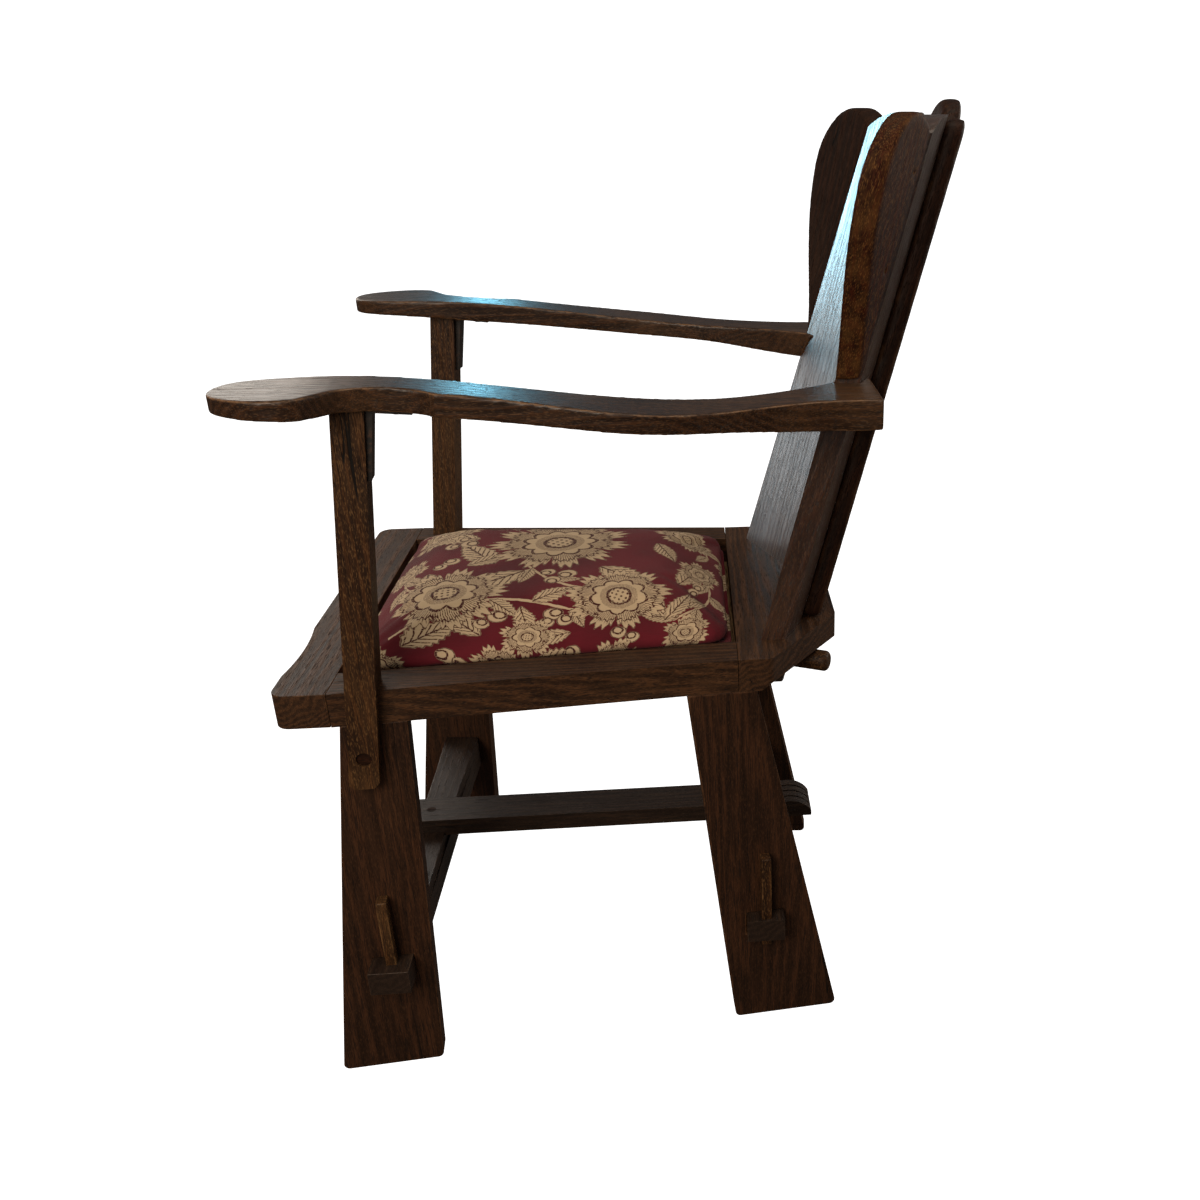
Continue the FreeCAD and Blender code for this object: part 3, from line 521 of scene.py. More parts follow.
def oakMaterial(finishName, grain):
    key = finishName + grain.capitalize()
    if key in oakMaterials:
        return oakMaterials[key]
    finish, look = oakFinishes[finishName], oakSurface
    material, tree, surface = newMaterial(key)
    place = addNode(tree, "TexCoord").outputs["Object"]
    turned = addNode(tree, "Mapping", {"Vector": place, "Rotation": grainTurns[grain]}).outputs[0]
    oak = useGroup(tree, oakGroup, {"Vector": turned, "Ring Size": finish["ring"]})
    shade = calc(tree, "MULTIPLY", oak["Streak"], look["streakShade"])
    shade = calc(tree, "MULTIPLY_ADD", oak["Rings"], look["ringShade"], shade)
    colour = mixColour(tree, fade(tree, shade, *look["shadeFade"]), finish["dark"], finish["mid"])
    cloud = fade(tree, noiseValue(tree, place, *look["clouds"]), *look["cloudFade"])
    rub = calc(tree, "MULTIPLY", calc(tree, "MULTIPLY", cloud, oak["Streak"]), finish["rub"])
    colour = mixColour(tree, rub, colour, finish["worn"])
    fleck = calc(tree, "MULTIPLY", oak["Fleck"], finish["fleck"])
    colour = mixColour(tree, fleck, colour, finish["worn"])
    dents = calc(tree, "MULTIPLY", oak["Pores"], look["poreShade"])
    dents = calc(tree, "MAXIMUM", dents, oak["Shake"])
    colour = mixColour(tree, dents, colour, look["dent"])
    wear = useGroup(tree, wearGroup, {"Vector": place, "Amount": finish["wear"]})
    colour = mixColour(tree, wear["Mask"], colour, finish["worn"])
    feed(tree, surface.inputs["Base Color"], colour)
    gloss = finish["gloss"] - look["streakRoughness"] / 2
    gloss = calc(tree, "MULTIPLY_ADD", oak["Streak"], look["streakRoughness"], gloss)
    gloss = calc(tree, "MULTIPLY_ADD", oak["Pores"], look["poreRoughness"], gloss)
    feed(tree, surface.inputs["Roughness"], gloss)
    addBump(tree, surface, look["bump"], finish["relief"], oak["Height"])
    coat = {"Coat Weight": finish["coat"], "Coat Roughness": look["coatRoughness"]}
    setSockets(surface, {"Specular IOR Level": finish["shine"], **coat})
    oakMaterials[key] = material
    return material


print("oak finishes ready")


# Wooden pieces: each is its CAD solid with eased, worn edges
edgeWork = {
    "weld": 0.00002,  # metres
    "flatAngle": 0.6,  # degrees: faces this flat to each other become one
    "easedAngle": 32,  # degrees: edges sharper than this are eased
    "segments": 3,
    "normalWeight": 80,
}


def startPiece(name, nodeName):
    piece = bpy.data.objects.new(name, cadNodes[nodeName].data.copy())
    bpy.context.collection.objects.link(piece)
    piece.matrix_world = cadNodes[nodeName].matrix_world.copy()
    piece.data.materials.clear()
    makeActive(piece)
    bpy.ops.object.mode_set(mode="EDIT")
    bpy.ops.mesh.select_all(action="SELECT")
    bpy.ops.mesh.remove_doubles(threshold=edgeWork["weld"])
    bpy.ops.mesh.dissolve_limited(angle_limit=math.radians(edgeWork["flatAngle"]))
    bpy.ops.object.mode_set(mode="OBJECT")
    bpy.ops.mesh.customdata_custom_splitnormals_clear()
    return piece


def makeActive(piece):
    bpy.ops.object.select_all(action="DESELECT")
    piece.select_set(True)
    bpy.context.view_layer.objects.active = piece


def applyModifier(piece, kind, **settings):
    modifier = piece.modifiers.new(kind.lower(), kind)
    for name, value in settings.items():
        setattr(modifier, name, value)
    makeActive(piece)
    bpy.ops.object.modifier_apply(modifier=modifier.name)


def easeEdges(piece, width, material):
    piece.data.materials.append(material)
    piece.data.materials.append(material)  # a second slot, which marks the eased faces
    settings = {
        "segments": edgeWork["segments"],
        "use_clamp_overlap": True,
        "limit_method": "ANGLE",
        "angle_limit": math.radians(edgeWork["easedAngle"]),
        "material": 1,
    }
    applyModifier(piece, "BEVEL", width=width, **settings)
    mask = piece.data.attributes.new("wornEdge", "FLOAT", "FACE")
    for face in piece.data.polygons:
        mask.data[face.index].value = face.material_index
        face.material_index = 0
    piece.data.materials.pop(index=1)
    bpy.ops.object.shade_smooth()
    applyModifier(piece, "WEIGHTED_NORMAL", keep_sharp=False, weight=edgeWork["normalWeight"])


def finishPiece(piece, nodeName):
    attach(piece, bodyOfNode[nodeName])
    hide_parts(nodeName)
    bpy.ops.object.select_all(action="DESELECT")


woodenPieces = {  # node: (name, finish, grain, eased edge in metres)
    "seat_front_rail": ("seatFrontRail", "railOak", "x", 0.0026),
    "seat_side_rail_left": ("seatSideRailLeft", "railOak", "y", 0.0020),
    "seat_side_rail_right": ("seatSideRailRight", "railOak", "y", 0.0020),
    "seat_rear_rail": ("seatRearRail", "railOak", "x", 0.0022),
    "leg_front_left": ("legFrontLeft", "legOak", "z", 0.0018),
    "leg_front_right": ("legFrontRight", "legOak", "z", 0.0018),
    "leg_rear_left": ("legRearLeft", "legOak", "z", 0.0018),
    "leg_rear_right": ("legRearRight", "legOak", "z", 0.0018),
    "arm_post_left": ("armPostLeft", "postOak", "z", 0.0012),
    "arm_post_right": ("armPostRight", "postOak", "z", 0.0012),
    "back_board_left": ("backBoardLeft", "boardOak", "back", 0.0032),
    "back_board_right": ("backBoardRight", "boardOak", "back", 0.0032),
    "cross_stretcher_front": ("crossStretcherFront", "beamOak", "x", 0.0016),
    "cross_stretcher_rear": ("crossStretcherRear", "beamOak", "x", 0.0016),
    "centre_stretcher": ("centreStretcher", "beamOak", "y", 0.0012),
    "tusk_wedges": ("tuskWedges", "postOak", "z", 0.0012),
    "front_bearer": ("frontBearer", "beamOak", "x", 0.0006),
    "back_keys": ("backKeys", "postOak", "y", 0.0008),
}

seatSeams = {  # in metres: the rails' ends draw back, so that the seams show as fine lines
    "gap": 0.0003,
    "within": 0.0001,
}


def openSeams(piece, nodeName, seams):
    low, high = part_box("seat_side_rail_left")
    ownLow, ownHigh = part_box(nodeName)
    middle = (ownLow.y + ownHigh.y) / 2
    for vertex in piece.data.vertices:
        for seam in (low.y, high.y):
            if abs(vertex.co.y - seam) < seams["within"]:
                vertex.co.y += seams["gap"] if middle > seam else -seams["gap"]


def dressWood(pieces, seams):
    for nodeName, (name, finish, grain, edge) in pieces.items():
        piece = startPiece(name, nodeName)
        if "rail" in nodeName:
            openSeams(piece, nodeName, seams)
        easeEdges(piece, edge, oakMaterial(finish, grain))
        finishPiece(piece, nodeName)


dressWood(woodenPieces, seatSeams)

roundedPieces = {  # node: (name, finish, grain, voxel, passes of smoothing), edges rubbed quite round
    "arm_left": ("armLeft", "armOak", "y", 0.0014, 4),
    "arm_right": ("armRight", "armOak", "y", 0.0014, 4),
    # the centre board takes the darker oak: painted shade on its edges
    "back_board_centre": ("backBoardCentre", "centreOak", "back", 0.0020, 80),
    "back_wing_left": ("backWingLeft", "wingOak", "back", 0.0014, 36),
    # the far wing takes the darker copy of the wing oak: painted shade
    "back_wing_right": ("backWingRight", "shadeOak", "back", 0.0014, 36),
}

rounding = {
    "smoothing": 0.5,
    "wornFrom": 0.35,  # wear starts here, from 0 on the flats to 1 halfway round an edge
    "wornOver": 0.45,
}


def roundEdges(piece, voxel, passes, material):
    upwards = Vector((0, 0, 1))
    flat = max(piece.data.polygons, key=lambda face: face.area).normal.copy()
    if piece.name.startswith("arm"):  # the arms lie about level as they are
        flat = upwards
    turn = flat.rotation_difference(upwards).to_matrix().to_4x4()
    piece.data.transform(turn)  # the remesh is cleanest with the flat side on Z
    applyModifier(piece, "REMESH", mode="VOXEL", voxel_size=voxel)
    applyModifier(piece, "SMOOTH", factor=rounding["smoothing"], iterations=passes)
    mask = piece.data.attributes.new("wornEdge", "FLOAT", "POINT")
    for vertex in piece.data.vertices:
        lean = vertex.normal.z ** 2
        worn = (4 * lean * (1 - lean) - rounding["wornFrom"]) / rounding["wornOver"]
        mask.data[vertex.index].value = max(0, min(1, worn))
    piece.data.transform(turn.inverted())
    bpy.ops.object.shade_smooth()
    piece.data.materials.append(material)


def dressRounded(pieces):
    for nodeName, (name, finish, grain, voxel, passes) in pieces.items():
        piece = startPiece(name, nodeName)
        roundEdges(piece, voxel, passes, oakMaterial(finish, grain))
        finishPiece(piece, nodeName)


dressRounded(roundedPieces)
print("wood dressed")

hiddenEdge = 0.0008
hiddenPieces = {  # node: (name, grain); unfinished oak that the upholstery hides
    "seat_ledge_left": ("seatLedgeLeft", "y"),
    "seat_ledge_right": ("seatLedgeRight", "y"),
    "seat_ledge_front": ("seatLedgeFront", "x"),
    "seat_ledge_rear": ("seatLedgeRear", "x"),
}
pegsAndDowels = {  # node: finish; their CAD solids stay
    # the pegs take the darker oak: painted shade in their recesses
    "post_pegs": "centreOak",
    "back_pegs": "centreOak",
    "stretcher_pegs": "centreOak",
    "seat_frame_dowels": "plainOak",
    "wing_dowels": "plainOak",
}


def dressNode(nodeName, material):
    node = cadNodes[nodeName]
    node.data.materials.clear()
    node.data.materials.append(material)


def dressHidden(pieces, pegs):
    for nodeName, (name, grain) in pieces.items():
        piece = startPiece(name, nodeName)
        easeEdges(piece, hiddenEdge, oakMaterial("plainOak", grain))
        finishPiece(piece, nodeName)
    for nodeName, finish in pegs.items():
        dressNode(nodeName, oakMaterial(finish, "y"))


dressHidden(hiddenPieces, pegsAndDowels)

metalFinishes = {
    "blackIron": {
        "base": (0.030, 0.027, 0.026, 1),
        "rust": (0.10, 0.042, 0.02, 1),
        "spread": 0.5,
        "metal": 0.6,
    },
    "dullSteel": {
        "base": (0.20, 0.19, 0.18, 1),
        "rust": (0.14, 0.07, 0.035, 1),
        "spread": 0.35,
        "metal": 0.9,
    },
}
metalSurface = {
    "patches": (130.0, 5.0, 0.6),  # noise: scale, detail, roughness
    "rustFade": (0.5, 0.68),
    "rustDullness": 0.5,
    "roughness": (0.4, 0.3),  # swing with the patches, and least
    "bump": (0.5, 0.0003),  # strength, and distance in metres
}
ironEdge = 0.0006


def metalMaterial(name):
    finish, look = metalFinishes[name], metalSurface
    material, tree, surface = newMaterial(name)
    place = addNode(tree, "TexCoord").outputs["Object"]
    patch = noiseValue(tree, place, *look["patches"])
    rust = calc(tree, "MULTIPLY", fade(tree, patch, *look["rustFade"]), finish["spread"])
    feed(tree, surface.inputs["Base Color"], mixColour(tree, rust, finish["base"], finish["rust"]))
    feed(tree, surface.inputs["Roughness"], calc(tree, "MULTIPLY_ADD", patch, *look["roughness"]))
    metallic = calc(tree, "MULTIPLY_ADD", rust, -look["rustDullness"], finish["metal"])
    feed(tree, surface.inputs["Metallic"], metallic)
    addBump(tree, surface, *look["bump"], patch)
    return material


def dressMetal():
    irons = startPiece("armAngleIrons", "arm_angle_irons")
    easeEdges(irons, ironEdge, metalMaterial("blackIron"))
    finishPiece(irons, "arm_angle_irons")
    steel = metalMaterial("dullSteel")
    for nodeName in ("arm_screws", "ledge_screws", "pad_tacks"):
        dressNode(nodeName, steel)


dressMetal()
print("hidden oak and metal dressed")

# Seat pad: the cushion swells under cloth pressure inside the space of its CAD solid
cushionShape = {
    "narrower": (0.992, 0.988),  # in x and y: the start, before the pressure fills it
    "lower": 0.95,
    "voxel": 0.005,
    "smoothing": 0.5,
    "passes": 5,
    "pressure": 4.0,
    "quality": 6,
    "frames": 20,
    "cap": 0.006,
    "held": 0.006,  # the cloth is held this far up from the rails
    "frontHalfWidth": 0.1765,  # of the opening in the seat frame, less the clearance
    "narrowing": 0.0894,  # of that half width, per metre towards the back
    "sideGap": 0.0012,
    "pleats": 5,  # to a quarter turn
    "pleatDepth": 0.0016,
    "pleatReach": 0.055,
    "pleatsFrom": 0.004,  # above the rails
    "cornerDrop": 0.010,
    "cornerReach": 0.110,
    "cornerCurve": 1.5,
}


def swellCushion(piece, shape):
    cloth = piece.modifiers.new("cloth", "CLOTH")
    cloth.settings.use_pressure = True
    cloth.settings.uniform_pressure_force = shape["pressure"]
    cloth.settings.effector_weights.gravity = 0
    cloth.settings.quality = shape["quality"]
    base = min(vertex.co.z for vertex in piece.data.vertices) + shape["held"]
    held = piece.vertex_groups.new(name="held")
    held.add([vertex.index for vertex in piece.data.vertices if vertex.co.z < base], 1.0, "REPLACE")
    cloth.settings.vertex_group_mass = held.name
    start = [vertex.co.copy() for vertex in piece.data.vertices]
    for step in range(1, shape["frames"] + 1):
        bpy.context.scene.frame_set(step)
    evaluated = piece.evaluated_get(bpy.context.evaluated_depsgraph_get())
    moved = [vertex.co.copy() for vertex in evaluated.to_mesh().vertices]
    evaluated.to_mesh_clear()
    piece.modifiers.remove(cloth)
    piece.vertex_groups.remove(held)
    bpy.context.scene.frame_set(1)
    for vertex, before, after in zip(piece.data.vertices, start, moved):
        step = after - before
        if step.length > shape["cap"]:
            step.length = shape["cap"]
        vertex.co = before + step


def halfWidth(y, low, shape):
    return shape["frontHalfWidth"] - shape["narrowing"] * (y - low.y)


def holdInFrame(piece, low, high, shape):
    for vertex in piece.data.vertices:
        limit = halfWidth(vertex.co.y, low, shape) - shape["sideGap"]
        vertex.co.x = max(-limit, min(limit, vertex.co.x))
        vertex.co.y = max(low.y, min(high.y, vertex.co.y))
        vertex.co.z = max(low.z, vertex.co.z)


def pleatCorners(piece, low, high, shape):
    ends = [(side, y) for y in (low.y, high.y) for side in (-1, 1)]
    corners = [Vector((side * halfWidth(y, low, shape), y, 0)) for side, y in ends]
    for vertex in piece.data.vertices:
        flat = Vector((vertex.co.x, vertex.co.y, 0))
        corner = min(corners, key=lambda point: (point - flat).length)
        away = (corner - flat).length
        height = (vertex.co.z - low.z) / (high.z - low.z)
        drop = max(0, 1 - away / shape["cornerReach"]) ** shape["cornerCurve"]
        vertex.co.z -= shape["cornerDrop"] * height * drop
        reach = 1 - away / shape["pleatReach"]
        if reach <= 0 or vertex.co.z < low.z + shape["pleatsFrom"]:
            continue
        turn = math.atan2(flat.y - corner.y, flat.x - corner.x)
        fold = 0.5 + 0.5 * math.sin(turn * 4 * shape["pleats"])
        vertex.co.z -= shape["pleatDepth"] * fold * reach * reach


def buildCushion(shape, cloth):
    low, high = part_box("pad_cushion")
    piece = startPiece("seatCushion", "pad_cushion")
    middle = (low + high) / 2
    for vertex in piece.data.vertices:
        vertex.co.x = middle.x + (vertex.co.x - middle.x) * shape["narrower"][0]
        vertex.co.y = middle.y + (vertex.co.y - middle.y) * shape["narrower"][1]
        vertex.co.z = low.z + (vertex.co.z - low.z) * shape["lower"]
    applyModifier(piece, "REMESH", mode="VOXEL", voxel_size=shape["voxel"])
    applyModifier(piece, "SMOOTH", factor=shape["smoothing"], iterations=shape["passes"])
    swellCushion(piece, shape)
    holdInFrame(piece, low, high, shape)
    applyModifier(piece, "SUBSURF", levels=1, render_levels=1)
    pleatCorners(piece, low, high, shape)
    bpy.ops.object.shade_smooth()
    piece.data.materials.append(cloth)
    finishPiece(piece, "pad_cushion")


# Print on the cloth: blossoms, leaves, stems and berries in cream on crimson
clothPrint = {
    "ground": (0.130, 0.0062, 0.015, 1),
    "shade": (0.085, 0.0042, 0.010, 1),
    "cream": (0.58, 0.44, 0.28, 1),
    "ink": (0.050, 0.006, 0.008, 1),
    "blossoms": [  # x, y, radius, petals, turn
        (-0.045, -0.088, 0.080, 11, 0.2),
        (0.082, -0.188, 0.063, 9, 0.9),
        (0.094, -0.018, 0.056, 9, 0.4),
        (-0.112, -0.224, 0.050, 8, 1.3),
        (-0.078, 0.054, 0.042, 8, 0.0),
        (0.022, 0.070, 0.034, 7, 0.6),
        (0.156, -0.105, 0.031, 7, 0.7),
        (-0.156, -0.132, 0.030, 7, 1.1),
        (-0.006, -0.254, 0.036, 7, 0.5),
        (0.146, 0.062, 0.027, 6, 0.2),
        (0.190, -0.262, 0.034, 8, 0.4),
        (0.198, -0.140, 0.034, 8, 1.0),
        (0.188, -0.006, 0.032, 7, 0.3),
        (-0.100, -0.306, 0.034, 8, 0.7),
        (0.070, -0.308, 0.034, 8, 0.1),
        (-0.192, -0.205, 0.032, 7, 0.8),
        (-0.186, -0.040, 0.030, 7, 0.5),
        (-0.030, 0.124, 0.030, 7, 0.2),
        (0.092, 0.128, 0.030, 7, 0.9),
    ],
    "fronds": [  # x, y, turn, length
        (0.034, -0.116, -0.90, 0.082),
        (0.012, -0.150, -2.55, 0.078),
        (0.160, -0.232, 2.05, 0.074),
        (-0.064, -0.176, -1.90, 0.072),
        (-0.118, -0.030, 2.30, 0.070),
        (0.030, -0.040, 0.80, 0.074),
        (-0.150, -0.180, 0.50, 0.060),
        (0.062, 0.040, 2.60, 0.056),
        (0.150, -0.060, -1.25, 0.050),
        (-0.146, 0.020, 1.15, 0.060),
        (0.024, -0.216, 0.15, 0.056),
        (-0.036, 0.018, 0.40, 0.050),
        (0.196, -0.230, 1.30, 0.062),
        (0.192, -0.100, 1.75, 0.062),
        (0.178, 0.034, 1.25, 0.056),
        (0.152, -0.152, -2.45, 0.060),
        (0.128, 0.036, 2.75, 0.050),
        (0.108, -0.112, 0.20, 0.048),
        (0.014, -0.178, 2.20, 0.052),
        (-0.192, -0.150, 1.60, 0.056),
    ],
    "stems": [  # x, y, turn, length, bend
        (-0.150, -0.268, 1.15, 0.205, 0.16),
        (0.010, -0.120, 1.05, 0.150, -0.20),
        (0.150, -0.240, 1.75, 0.190, 0.18),
        (-0.034, -0.236, 0.35, 0.120, -0.25),
        (-0.118, 0.010, 0.75, 0.110, 0.22),
        (0.030, 0.080, -0.35, 0.105, 0.20),
    ],
    "berries": [  # x, y, radius
        (0.046, -0.072, 0.0105),
        (0.060, -0.086, 0.0090),
        (0.040, -0.092, 0.0085),
        (-0.052, -0.186, 0.0105),
        (-0.068, -0.196, 0.0090),
        (-0.048, -0.204, 0.0085),
        (0.122, -0.134, 0.0100),
        (0.133, -0.150, 0.0085),
        (-0.136, -0.086, 0.0100),
        (-0.140, -0.066, 0.0085),
        (0.056, 0.068, 0.0090),
        (0.070, 0.062, 0.0080),
        (0.150, -0.010, 0.0090),
        (0.156, 0.006, 0.0080),
        (0.120, -0.080, 0.0105),
        (0.131, -0.068, 0.0090),
        (0.134, -0.086, 0.0085),
        (0.176, -0.190, 0.0100),
        (0.188, -0.180, 0.0085),
        (0.178, -0.056, 0.0095),
        (0.190, -0.048, 0.0080),
        (-0.002, -0.196, 0.0095),
        (0.010, -0.206, 0.0080),
    ],
    "leafLength": 0.040,
    "leafPlaces": (0.12, 0.34, 0.55, 0.76, 0.95),  # shares of the stem
    "leafSizes": (0.8, 1.25),  # least and greatest, in shares of leafLength
    "leafLean": 0.75,
    "stemThickness": 0.0021,
    "berryTurn": 40,  # radians per metre of x
    "crown": 0.006,  # below this depth under the top, the print follows the sides down
}


def crossedWaves(tree, parts, speed):
    return calc(tree, "MULTIPLY", wave(tree, parts[0], speed), wave(tree, parts[1], speed))


def inLength(tree, along):
    begun = calc(tree, "GREATER_THAN", along, 0.0)
    return calc(tree, "MULTIPLY", begun, calc(tree, "LESS_THAN", along, 1.0))


blossomShape = {  # sizes in shares of the blossom's radius
    "petalCurve": 0.6,
    "petalReach": 0.34,
    "petalRoot": 0.58,
    "fringeTeeth": 9.0,
    "fringeDepth": 0.065,
    "edgeFade": (-0.015, 0.015),
    "ruffReach": 0.10,
    "ruffRoot": 0.40,
    "heart": 0.20,
    "innerLine": (0.035, 0.018),
    "collarReach": 0.12,
    "collarRoot": 0.58,
    "collarFringe": 0.03,
    "collarLine": (0.026, 0.012),
    "pastRuff": (0.02, 0.06),
    "seamFade": (0.13, 0.05),
    "hatchLines": 22.0,
    "hatchFade": (0.20, 0.60),
    "hatchReach": 0.16,
    "hatchEnd": (0.24, 0.10),
    "innerHatch": (0.23, 0.33),
    "dots": 52.0,
    "dotFade": (0.35, 0.6),
    "dotsWithin": 0.17,
    "rimFade": (0.045, 0.02),
}


def buildBlossomGroup(shape):
    inputs = [("Vector", "Vector"), ("Petals", "Float")]
    tree, given, out = newGroup("clothBlossom", inputs, [("Fill", "Float"), ("Line", "Float")])
    parts, radius = axes(tree, given["Vector"]), lengthOf(tree, given["Vector"])
    turn = calc(tree, "ARCTAN2", parts[1], parts[0])
    half = calc(tree, "MULTIPLY", calc(tree, "MULTIPLY", turn, given["Petals"]), 0.5)
    lobe = calc(tree, "ABSOLUTE", calc(tree, "COSINE", half))
    fringe = wave(tree, half, shape["fringeTeeth"])
    edge = calc(tree, "POWER", lobe, shape["petalCurve"])
    edge = calc(tree, "MULTIPLY_ADD", edge, shape["petalReach"], shape["petalRoot"])
    edge = calc(tree, "MULTIPLY_ADD", fringe, shape["fringeDepth"], edge)
    room = calc(tree, "SUBTRACT", edge, radius)
    fill = fade(tree, room, *shape["edgeFade"])
    ruff = calc(tree, "ABSOLUTE", calc(tree, "SINE", half))
    ruff = calc(tree, "MULTIPLY_ADD", ruff, shape["ruffReach"], shape["ruffRoot"])
    line = fade(tree, near(tree, radius, ruff), *shape["innerLine"])
    heart = fade(tree, near(tree, radius, shape["heart"]), *shape["innerLine"])
    line = calc(tree, "MAXIMUM", line, heart)
    collar = calc(tree, "MULTIPLY_ADD", lobe, shape["collarReach"], shape["collarRoot"])
    collar = calc(tree, "MULTIPLY_ADD", fringe, shape["collarFringe"], collar)
    collar = fade(tree, near(tree, radius, collar), *shape["collarLine"])
    line = calc(tree, "MAXIMUM", line, collar)
    past = calc(tree, "SUBTRACT", radius, ruff)
    beyond = fade(tree, past, *shape["pastRuff"])
    seam = calc(tree, "MULTIPLY", fade(tree, lobe, *shape["seamFade"]), beyond)
    line = calc(tree, "MAXIMUM", line, seam)
    hatch = fade(tree, wave(tree, half, shape["hatchLines"]), *shape["hatchFade"])
    short = calc(tree, "MULTIPLY_ADD", lobe, -shape["hatchReach"], past)
    outer = calc(tree, "MULTIPLY", beyond, fade(tree, short, *shape["hatchEnd"]))
    outer = calc(tree, "MULTIPLY", hatch, outer)
    least, most = shape["innerHatch"]
    inner = calc(tree, "MULTIPLY", hatch, calc(tree, "LESS_THAN", radius, most))
    inner = calc(tree, "MULTIPLY", inner, calc(tree, "GREATER_THAN", radius, least))
    line = calc(tree, "MAXIMUM", line, calc(tree, "MAXIMUM", outer, inner))
    dots = fade(tree, crossedWaves(tree, parts, shape["dots"]), *shape["dotFade"])
    dots = calc(tree, "MULTIPLY", dots, calc(tree, "LESS_THAN", radius, shape["dotsWithin"]))
    rim = fade(tree, room, *shape["rimFade"])
    line = calc(tree, "MAXIMUM", calc(tree, "MAXIMUM", line, dots), rim)
    feed(tree, out["Fill"], fill)
    feed(tree, out["Line"], line)
    return tree


leafShape = {  # sizes in shares of the leaf's length
    "swellCurve": 0.8,
    "teeth": 58.0,
    "toothDepth": 0.02,
    "halfWidth": 0.22,
    "edgeFade": (-0.012, 0.012),
    "veins": 52.0,
    "veinSlant": 70.0,
    "veinFade": (0.45, 0.85),
    "veinEnd": (0.03, 0.06),
    "midribFade": (0.022, 0.010),
    "rimFade": (0.030, 0.012),
}


def buildLeafGroup(shape):
    outputs = [("Fill", "Float"), ("Line", "Float")]
    tree, given, out = newGroup("clothLeaf", [("Vector", "Vector")], outputs)
    parts = axes(tree, given["Vector"])
    along, side = parts[0], calc(tree, "ABSOLUTE", parts[1])
    inside = inLength(tree, along)
    swell = wave(tree, calc(tree, "POWER", along, shape["swellCurve"]), math.pi)
    teeth = wave(tree, along, shape["teeth"])
    teeth = calc(tree, "MULTIPLY_ADD", teeth, shape["toothDepth"], shape["halfWidth"])
    room = calc(tree, "SUBTRACT", calc(tree, "MULTIPLY", swell, teeth), side)
    fill = calc(tree, "MULTIPLY", fade(tree, room, *shape["edgeFade"]), inside)
    slant = calc(tree, "MULTIPLY", along, shape["veins"])
    slant = calc(tree, "MULTIPLY_ADD", side, -shape["veinSlant"], slant)
    veins = fade(tree, calc(tree, "SINE", slant), *shape["veinFade"])
    veins = calc(tree, "MULTIPLY", veins, fade(tree, room, *shape["veinEnd"]))
    line = calc(tree, "MAXIMUM", veins, fade(tree, side, *shape["midribFade"]))
    line = calc(tree, "MAXIMUM", line, fade(tree, room, *shape["rimFade"]))
    feed(tree, out["Fill"], fill)
    feed(tree, out["Line"], line)
    return tree


stemFade = (1.0, 0.7)  # in shares of the stem's thickness


def buildStemGroup():
    inputs = [("Vector", "Vector"), ("Bend", "Float"), ("Thickness", "Float")]
    tree, given, out = newGroup("clothStem", inputs, [("Fill", "Float")])
    parts = axes(tree, given["Vector"])
    inside = inLength(tree, parts[0])
    bow = calc(tree, "MULTIPLY", wave(tree, parts[0], math.pi), given["Bend"])
    room = calc(tree, "DIVIDE", near(tree, parts[1], bow), given["Thickness"])
    feed(tree, out["Fill"], calc(tree, "MULTIPLY", fade(tree, room, *stemFade), inside))
    return tree


berryShape = {  # sizes in shares of the berry's radius
    "shine": (0.25, 0.2, 0),
    "ring": 0.55,
    "ringFade": (0.16, 0.08),
    "edgeFade": (1.0, 0.92),
    "rimFade": (0.80, 0.90),
}


def buildBerryGroup(shape):
    outputs = [("Fill", "Float"), ("Line", "Float")]
    tree, given, out = newGroup("clothBerry", [("Vector", "Vector")], outputs)
    radius = lengthOf(tree, given["Vector"])
    inner = lengthOf(tree, vectorCalc(tree, "ADD", given["Vector"], shape["shine"]))
    ring = fade(tree, near(tree, inner, shape["ring"]), *shape["ringFade"])
    feed(tree, out["Fill"], fade(tree, radius, *shape["edgeFade"]))
    rim = fade(tree, radius, *shape["rimFade"])
    feed(tree, out["Line"], calc(tree, "MAXIMUM", ring, rim))
    return tree


def stemPoint(stem, share):
    x, y, turn, length, bend = stem
    along, side = share * length, bend * math.sin(math.pi * share) * length
    pointX = x + along * math.cos(turn) - side * math.sin(turn)
    pointY = y + along * math.sin(turn) + side * math.cos(turn)
    return pointX, pointY, turn + math.atan(bend * math.pi * math.cos(math.pi * share))


